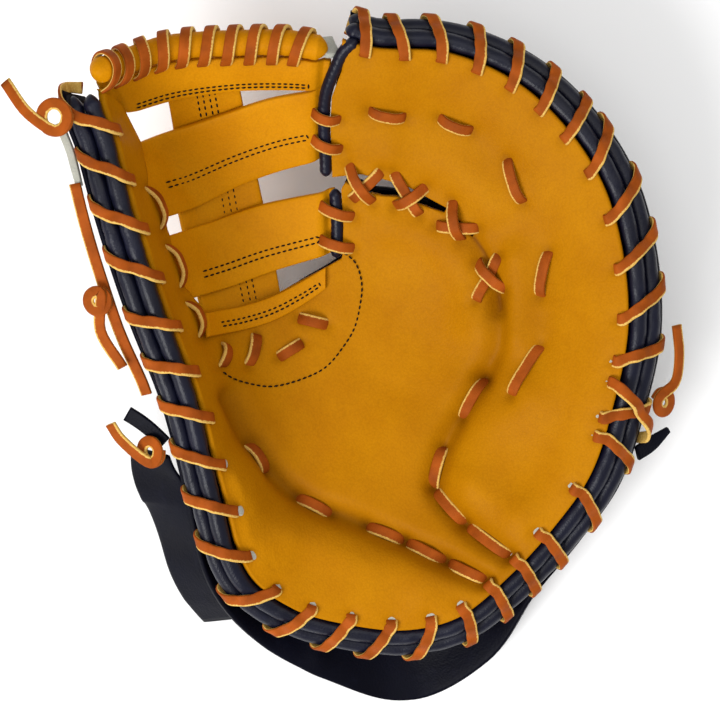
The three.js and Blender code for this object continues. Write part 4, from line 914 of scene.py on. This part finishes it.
def beside_path(rows):
    """A path beside the rolls from rows of share, beyond, drop and width."""
    rows = np.array(rows, float)
    fine, _ = catmull(rows, 10)
    place = rim_row(fine[:, 0])
    points = place["rear"] + (place["row"] * fine[:, 1:2] - place["away"] * fine[:, 2:3]) * ROLL_DIAMETER
    return points, place["away"], fine[:, 3]


def knot_path(middle, ring, turns, begin, tail):
    """A ring of lace that winds up on itself, then its tail."""
    row = rim_row(np.array(middle[0]))
    centre = row["rear"] + (row["row"] * middle[1] - row["away"] * middle[2]) * ROLL_DIAMETER
    across = np.cross(row["row"], row["away"])
    angle = np.radians(begin) + np.linspace(0, turns * 2 * np.pi, int(turns * 8) + 1)
    rise = (angle - angle[0]) / (2 * np.pi) * (LACE_THICK + CLEARANCE)
    radius = ring * LACE_WIDTH
    points = (centre + row["row"] * (radius * np.cos(angle))[:, None]
              + across * (radius * np.sin(angle))[:, None] + row["away"] * rise[:, None])
    ups = np.repeat(row["away"][None], len(points), 0)
    ends = np.array(tail, float)
    place = rim_row(ends[:, 0])
    far = place["rear"] + (place["row"] * ends[:, 1:2] - place["away"] * ends[:, 2:3]) * ROLL_DIAMETER
    return smooth_path(np.concatenate([points, far]), np.concatenate([ups, place["away"]]), 6)


def make_loose():
    """Straps, tabs, linings, the side lace and the knots."""
    for name, width, thick, finish, slot in (
            ("thumb_side_lace", LACE_WIDTH, LACE_THICK, lace_rawhide, "lace_rawhide"),
            ("thumb_strap", 32.0, 2.2, black_cowhide, "back_leather"),
            ("thumb_tab", 8.0, 2.2, black_cowhide, "back_leather"),
            ("pinky_tab", 8.0, 2.2, black_cowhide, "back_leather"),
            ("thumb_lining", 8.0, 3.0, grey_felt, "felt"),
            ("finger_lining", 8.0, 3.0, grey_felt, "felt")):
        points, ups, wide = beside_path(BESIDE[name])
        heap = Heap()
        heap.add(*sweep(points, ups, flat_section(width, thick, 20, 0.3), wide))
        heap.build(name + "_piece", finish, slot=slot, nodes=[name])
    for name, (middle, ring, turns, begin, tail) in KNOTS.items():
        heap = Heap()
        heap.add(*sweep(*knot_path(middle, ring, turns, begin, tail), lace_section))
        heap.build(name + "_lace", lace_rawhide, slot="lace_rawhide", nodes=[name])


def make_hole_felt():
    """Grey felt that shows in the lace holes: low round pads beside the laces."""
    heap = Heap()
    angle = np.linspace(0, 2 * np.pi, 14, endpoint=False)
    circle = np.stack([np.cos(angle), np.sin(angle)], 1)
    for loops, start, end, _, _ in THUMB_RUNS + FINGER_RUNS:
        for hole in np.linspace(start, end, loops):
            place, out_along = palm_hole(np.array(hole))
            middle = place - out_along[:2] * 0.8
            base = relief(middle[None])[0]
            points = above(np.repeat(middle[None], 3, 0), base + np.array([-0.8, 0.25, 0.5]))
            radii = np.array([2.7, 2.6, 1.9])[:, None, None]
            heap.add(*sweep(points, np.repeat(out_along[None], 3, 0), circle[None] * radii))
    heap.build("lace_hole_felt", grey_felt, slot="felt")


# Web
def between(rows, share):
    """Points at shares of a smooth line through an edge's rows."""
    line, at = catmull(np.array(rows) * SPAN, 24)
    t = np.asarray(share) * (len(rows) - 1)
    return np.stack([np.interp(t, at, line[:, k]) for k in (0, 1)], -1)


def longer(rows, left, right):
    """An edge's rows with one more at each end, so many mm further on."""
    rows = np.array(rows)
    first = rows[:1] + unit(rows[:1] - rows[1:2]) * left / SPAN
    last = rows[-1:] + unit(rows[-1:] - rows[-2:-1]) * right / SPAN
    return np.concatenate([first, rows, last])


def make_bar(name, front, rear, finish, left=0.1, right=0.1, under=0.0, steps=90, rows=22):
    """A web bar: two leathers sewn back to back, over the bowl between two heights, with rounded
    edges. The section runs over the front and back below: across goes 0 to 1 and returns. Left and
    right it runs on, dipping under its neighbours."""
    upper, lower = (longer(edge, left, right) for edge in BARS[name])
    a = np.linspace(0.0, 1.0, steps)
    turn = np.linspace(0, 2 * np.pi, 2 * rows, endpoint=False)
    c, s = np.cos(turn), np.sin(turn)
    across = 0.5 + 0.5 * np.sign(c) * np.abs(c) ** 0.25
    height = 0.5 + 0.5 * np.sign(s) * np.abs(s) ** 0.35
    low, high = between(lower, a), between(upper, a)
    xy = low[:, None] * (1 - across[None, :, None]) + high[:, None] * across[None, :, None]
    puff = 0.5 * np.sin(np.pi * across) * (height > 0.5)
    lift = rear + (front - rear) * height + puff
    end = np.clip(np.minimum(a, 1 - a) / 0.012, 0.25, 1) ** 0.5
    middle = (front + rear) / 2
    lift = middle + (lift[None] - middle) * end[:, None]
    row = a * (len(upper) - 1)
    dip = 1 - ease(0.5, 1.3, row) + ease(len(upper) - 2.3, len(upper) - 1.5, row)
    points = above(xy, lift - under * dip[:, None])
    n, m = points.shape[:2]
    centres = points[[0, -1]].mean(1)
    points = np.concatenate([np.repeat(centres[:1, None], m, 1), points,
                             np.repeat(centres[1:, None], m, 1)])
    quads = grid_quads(n + 2, m, wrap_m=True)
    return build(name + "_leather", points.reshape(-1, 3), quads, finish, slot="palm_leather",
                 nodes=[name])


# Laces wound round the web's roll: how many, turn of each in degrees and distance in roll radii
WRAPS = 10
WRAP_TURN = np.array([(-75, 1.34), (-45, 1.16), (-10, 1.05), (25, 1.03), (60, 1.02), (95, 1.02),
                      (130, 1.03), (165, 1.05), (200, 1.16), (235, 1.34)])


def make_top_roll():
    """The rolled top edge of the web and the lace wound round it."""
    upper = longer(BARS["web_top_bar"][0], 8.0, 5.0)
    centre = between(upper, np.linspace(0, 1, 160))
    centre[:, 1] += WEB_ROLL_DIAMETER / 2 + CLEARANCE
    points = above(centre, np.full(len(centre), -WEB_WALL / 2))
    angle = np.linspace(0, 2 * np.pi, 24, endpoint=False)
    run = run_along(points)
    radius = WEB_ROLL_DIAMETER / 2 + 0.08 * np.sin(run[:, None] * 1.3 + 3 * angle[None])
    heap = Heap()
    heap.add(*round_tube(points, palm_normal(centre), run, angle, radius, 5.0))
    heap.build("web_top_roll_leather", web_cowhide, slot="palm_leather", nodes=["web_top_roll"])
    laces = Heap()
    share_run = run / run[-1]
    turn = np.radians(WRAP_TURN[:, 0])
    reach = WRAP_TURN[:, 1]
    for wrap in range(WRAPS):
        share = 0.04 + 0.92 / WRAPS * (wrap + 0.75 * (turn - turn[0]) / (turn[-1] - turn[0]))
        at = np.stack([np.interp(share, share_run, points[:, k]) for k in range(3)], 1)
        ahead = np.stack([np.interp(share + 0.01, share_run, points[:, k])
                          - np.interp(share - 0.01, share_run, points[:, k]) for k in range(3)], 1)
        ahead = unit(ahead)
        north = unit(np.cross(palm_normal(at[:, :2]), ahead))
        up = np.cross(ahead, north)
        out = north * np.sin(turn)[:, None] + up * np.cos(turn)[:, None]
        radius = WEB_ROLL_DIAMETER / 2 + RIDE + 0.1
        path, ups = smooth_path(at + out * (radius * reach)[:, None], out, 4)
        laces.add(*sweep(path, ups, lace_section))
    laces.build("web_top_wraps", lace_rawhide, slot="lace_rawhide", nodes=["web_top_lace"])


def make_edge_binding(name, rows):
    """A thin black binding along an edge that faces the web."""
    share = np.linspace(0, 1, 90)
    xy = between(rows, share)
    ahead = np.gradient(xy, axis=0)
    outward = unit(np.stack([-ahead[:, 1], ahead[:, 0]], 1))
    xy = xy + outward * (EDGE_BINDING / 2 + CLEARANCE)
    points = above(xy, np.full(len(xy), -PALM_WALL / 2))
    angle = np.linspace(0, 2 * np.pi, 16, endpoint=False)
    run = run_along(points)
    radius = EDGE_BINDING / 2 + 0.15 + 0.08 * np.sin(run[:, None] * 1.7 + 2 * angle[None])
    heap = Heap()
    heap.add(*round_tube(points, palm_normal(xy), run, angle, radius, 3.0))
    heap.build(name + "_leather", binding_leather, slot="binding_leather", nodes=[name])


# Stitches
def stitch_heap(heap, xy, lift, pitch=3.0, length=2.3, width=0.95):
    """Stitches along a line in plan: small pods laid end to end on the leather."""
    run = run_along(xy)
    at = np.arange(pitch / 2, run[-1], pitch)
    middle = np.stack([np.interp(at, run, xy[:, k]) for k in (0, 1)], 1)
    ahead = unit(np.stack([np.interp(at + 0.5, run, xy[:, k]) - np.interp(at - 0.5, run, xy[:, k])
                           for k in (0, 1)], 1))
    steps = np.linspace(-1, 1, 5)
    for centre, direction in zip(middle, ahead):
        place = centre + direction * (steps * length / 2)[:, None]
        high = lift + 0.25 - 0.35 * steps ** 2
        angle = np.linspace(0, 2 * np.pi, 6, endpoint=False)
        round_off = np.sqrt(np.clip(1 - steps ** 2, 0.05, 1))[:, None, None] * width / 2
        section = np.stack([np.cos(angle), np.sin(angle)], -1)[None] * round_off
        heap.add(*sweep(above(place, high), palm_normal(place), section))


def make_stitches():
    """Double rows near the bars' lower edges, down the spine, and the arc round the web's base."""
    heap = Heap()
    for name, lift, insets in (("web_top_bar", 0.3, (0.14, 0.24)), ("web_upper_bar", 0.4, (0.36, 0.43)),
                               ("web_lower_bar", 0.4, (0.25, 0.34)), ("web_base_bar", 3.3, (0.3, 0.48))):
        upper, lower = BARS[name]
        share = np.linspace(0.03, 0.94, 60)
        under, over = (between(lower, share) * (1 - inset) + between(upper, share) * inset
                       for inset in insets)
        onward = unit(under[-1] - under[-2]) * np.linalg.norm(over[-1] - under[-1]) * 0.45
        bend = (under[-1] + over[-1]) / 2 + onward
        line, _ = catmull(np.concatenate([under, [bend], over[::-1]]), 6)
        stitch_heap(heap, line, lift)
    arc, _ = catmull(BASE_ARC * SPAN, 12)
    stitch_heap(heap, arc, 0.1)
    spine_front = -WEB_WALL - 2.2 * CLEARANCE
    upper, lower = (longer(edge, *SPINE_BEYOND) for edge in BARS["web_spine"])
    for inset in (0.40, 0.48, 0.57, 0.65):
        share = np.linspace(0.02, 0.98, 60)
        line = between(lower, share) * (1 - inset) + between(upper, share) * inset
        stitch_heap(heap, line, spine_front + 0.3)
    heap.build("sewing_thread", black_thread, slot="binding_leather")


BASE_ARC = np.array([(-0.028, 0.183), (-0.008, 0.165), (0.003, 0.130), (0.000, 0.092), (-0.010, 0.053),
                     (-0.028, 0.023), (-0.058, -0.012), (-0.097, -0.032), (-0.150, -0.045),
                     (-0.188, -0.040), (-0.217, -0.030), (-0.235, -0.017)])


# Lights: name, place in metres, diameter and power in watts
LIGHTS = (("key", (-1.0, -1.2, 1.5), 1.3, 46), ("fill", (1.3, 0.9, 1.8), 1.8, 7),
          ("top", (0.1, 0.2, 2.4), 1.6, 12))
WORLD_LIGHT = 0.60
CAMERA_HEIGHT = 3.095
FLOOR_HALF = 6.0


def make_stage():
    """A pale floor, soft studio light and the camera straight above, far off with a long lens."""
    floor_mesh = bpy.data.meshes.new("floor")
    corners = [(x * FLOOR_HALF, y * FLOOR_HALF, 0) for x, y in ((-1, -1), (1, -1), (1, 1), (-1, 1))]
    floor_mesh.from_pydata(corners, [], [(0, 1, 2, 3)])
    floor = bpy.data.objects.new("floor", floor_mesh)
    bpy.context.scene.collection.objects.link(floor)
    material, _, shader = fresh("pale_floor")
    shader.inputs["Base Color"].default_value = linear("#FFFFFF")
    shader.inputs["Roughness"].default_value = 0.9
    floor_mesh.materials.append(material)
    for name, place, size, power in LIGHTS:
        light = bpy.data.lights.new(name, "AREA")
        light.shape = "DISK"
        light.size = size
        light.energy = power
        lamp = bpy.data.objects.new(name, light)
        lamp.location = place
        direction = -np.array(place)
        lamp.rotation_euler = Vector(direction).to_track_quat("-Z", "Y").to_euler()
        bpy.context.scene.collection.objects.link(lamp)
    world = bpy.data.worlds.new("studio")
    world.use_nodes = True
    world.node_tree.nodes["Background"].inputs["Color"].default_value = (1, 1, 1, 1)
    world.node_tree.nodes["Background"].inputs["Strength"].default_value = WORLD_LIGHT
    bpy.context.scene.world = world
    bpy.context.scene.view_settings.view_transform = "Standard"
    camera_data = bpy.data.cameras.new("camera")
    camera_data.lens = 300
    camera_data.sensor_width = 36
    camera = bpy.data.objects.new("camera", camera_data)
    camera.location = (-MIDDLE[0] * MM, -MIDDLE[1] * MM, CAMERA_HEIGHT)
    camera.rotation_euler = (0, 0, 0)
    bpy.context.scene.collection.objects.link(camera)
    bpy.context.scene.camera = camera


make_stage()
make_palm()
make_back()
make_roll("palm_side_roll_leather", "first", 0.0)
make_roll("back_side_roll_leather", "second", 1.4)
make_rim_lace("thumb_rim_lace", THUMB_RUNS, True)
make_rim_lace("finger_rim_lace", FINGER_RUNS, False)
for lace_name in RUNNING:
    make_running_lace(lace_name)
make_bar("web_top_bar", 0.0, -WEB_WALL, web_cowhide, 4.0, 6.0, 3.8)
make_bar("web_upper_bar", 0.0, -WEB_WALL, web_cowhide, 11.0, 5.0, 3.8)
make_bar("web_lower_bar", 0.0, -WEB_WALL, web_cowhide, 11.0, 5.0, 3.8)
make_bar("web_base_bar", 3.0, 0.4, web_cowhide, 5.0, 1.0)
make_bar("web_spine", -WEB_WALL - 2.2 * CLEARANCE, -2 * WEB_WALL - 2.2 * CLEARANCE, web_cowhide,
         *SPINE_BEYOND)
make_top_roll()
make_edge_binding("finger_edge_binding",
                  np.concatenate([SLIT_FINGER_SIDE[-1:], FINGER_EDGE, [(-0.018, 0.506), (0.002, 0.522)]]))
make_edge_binding("palm_edge_binding", PALM_EDGE)
make_loose()
make_hole_felt()
make_stitches()
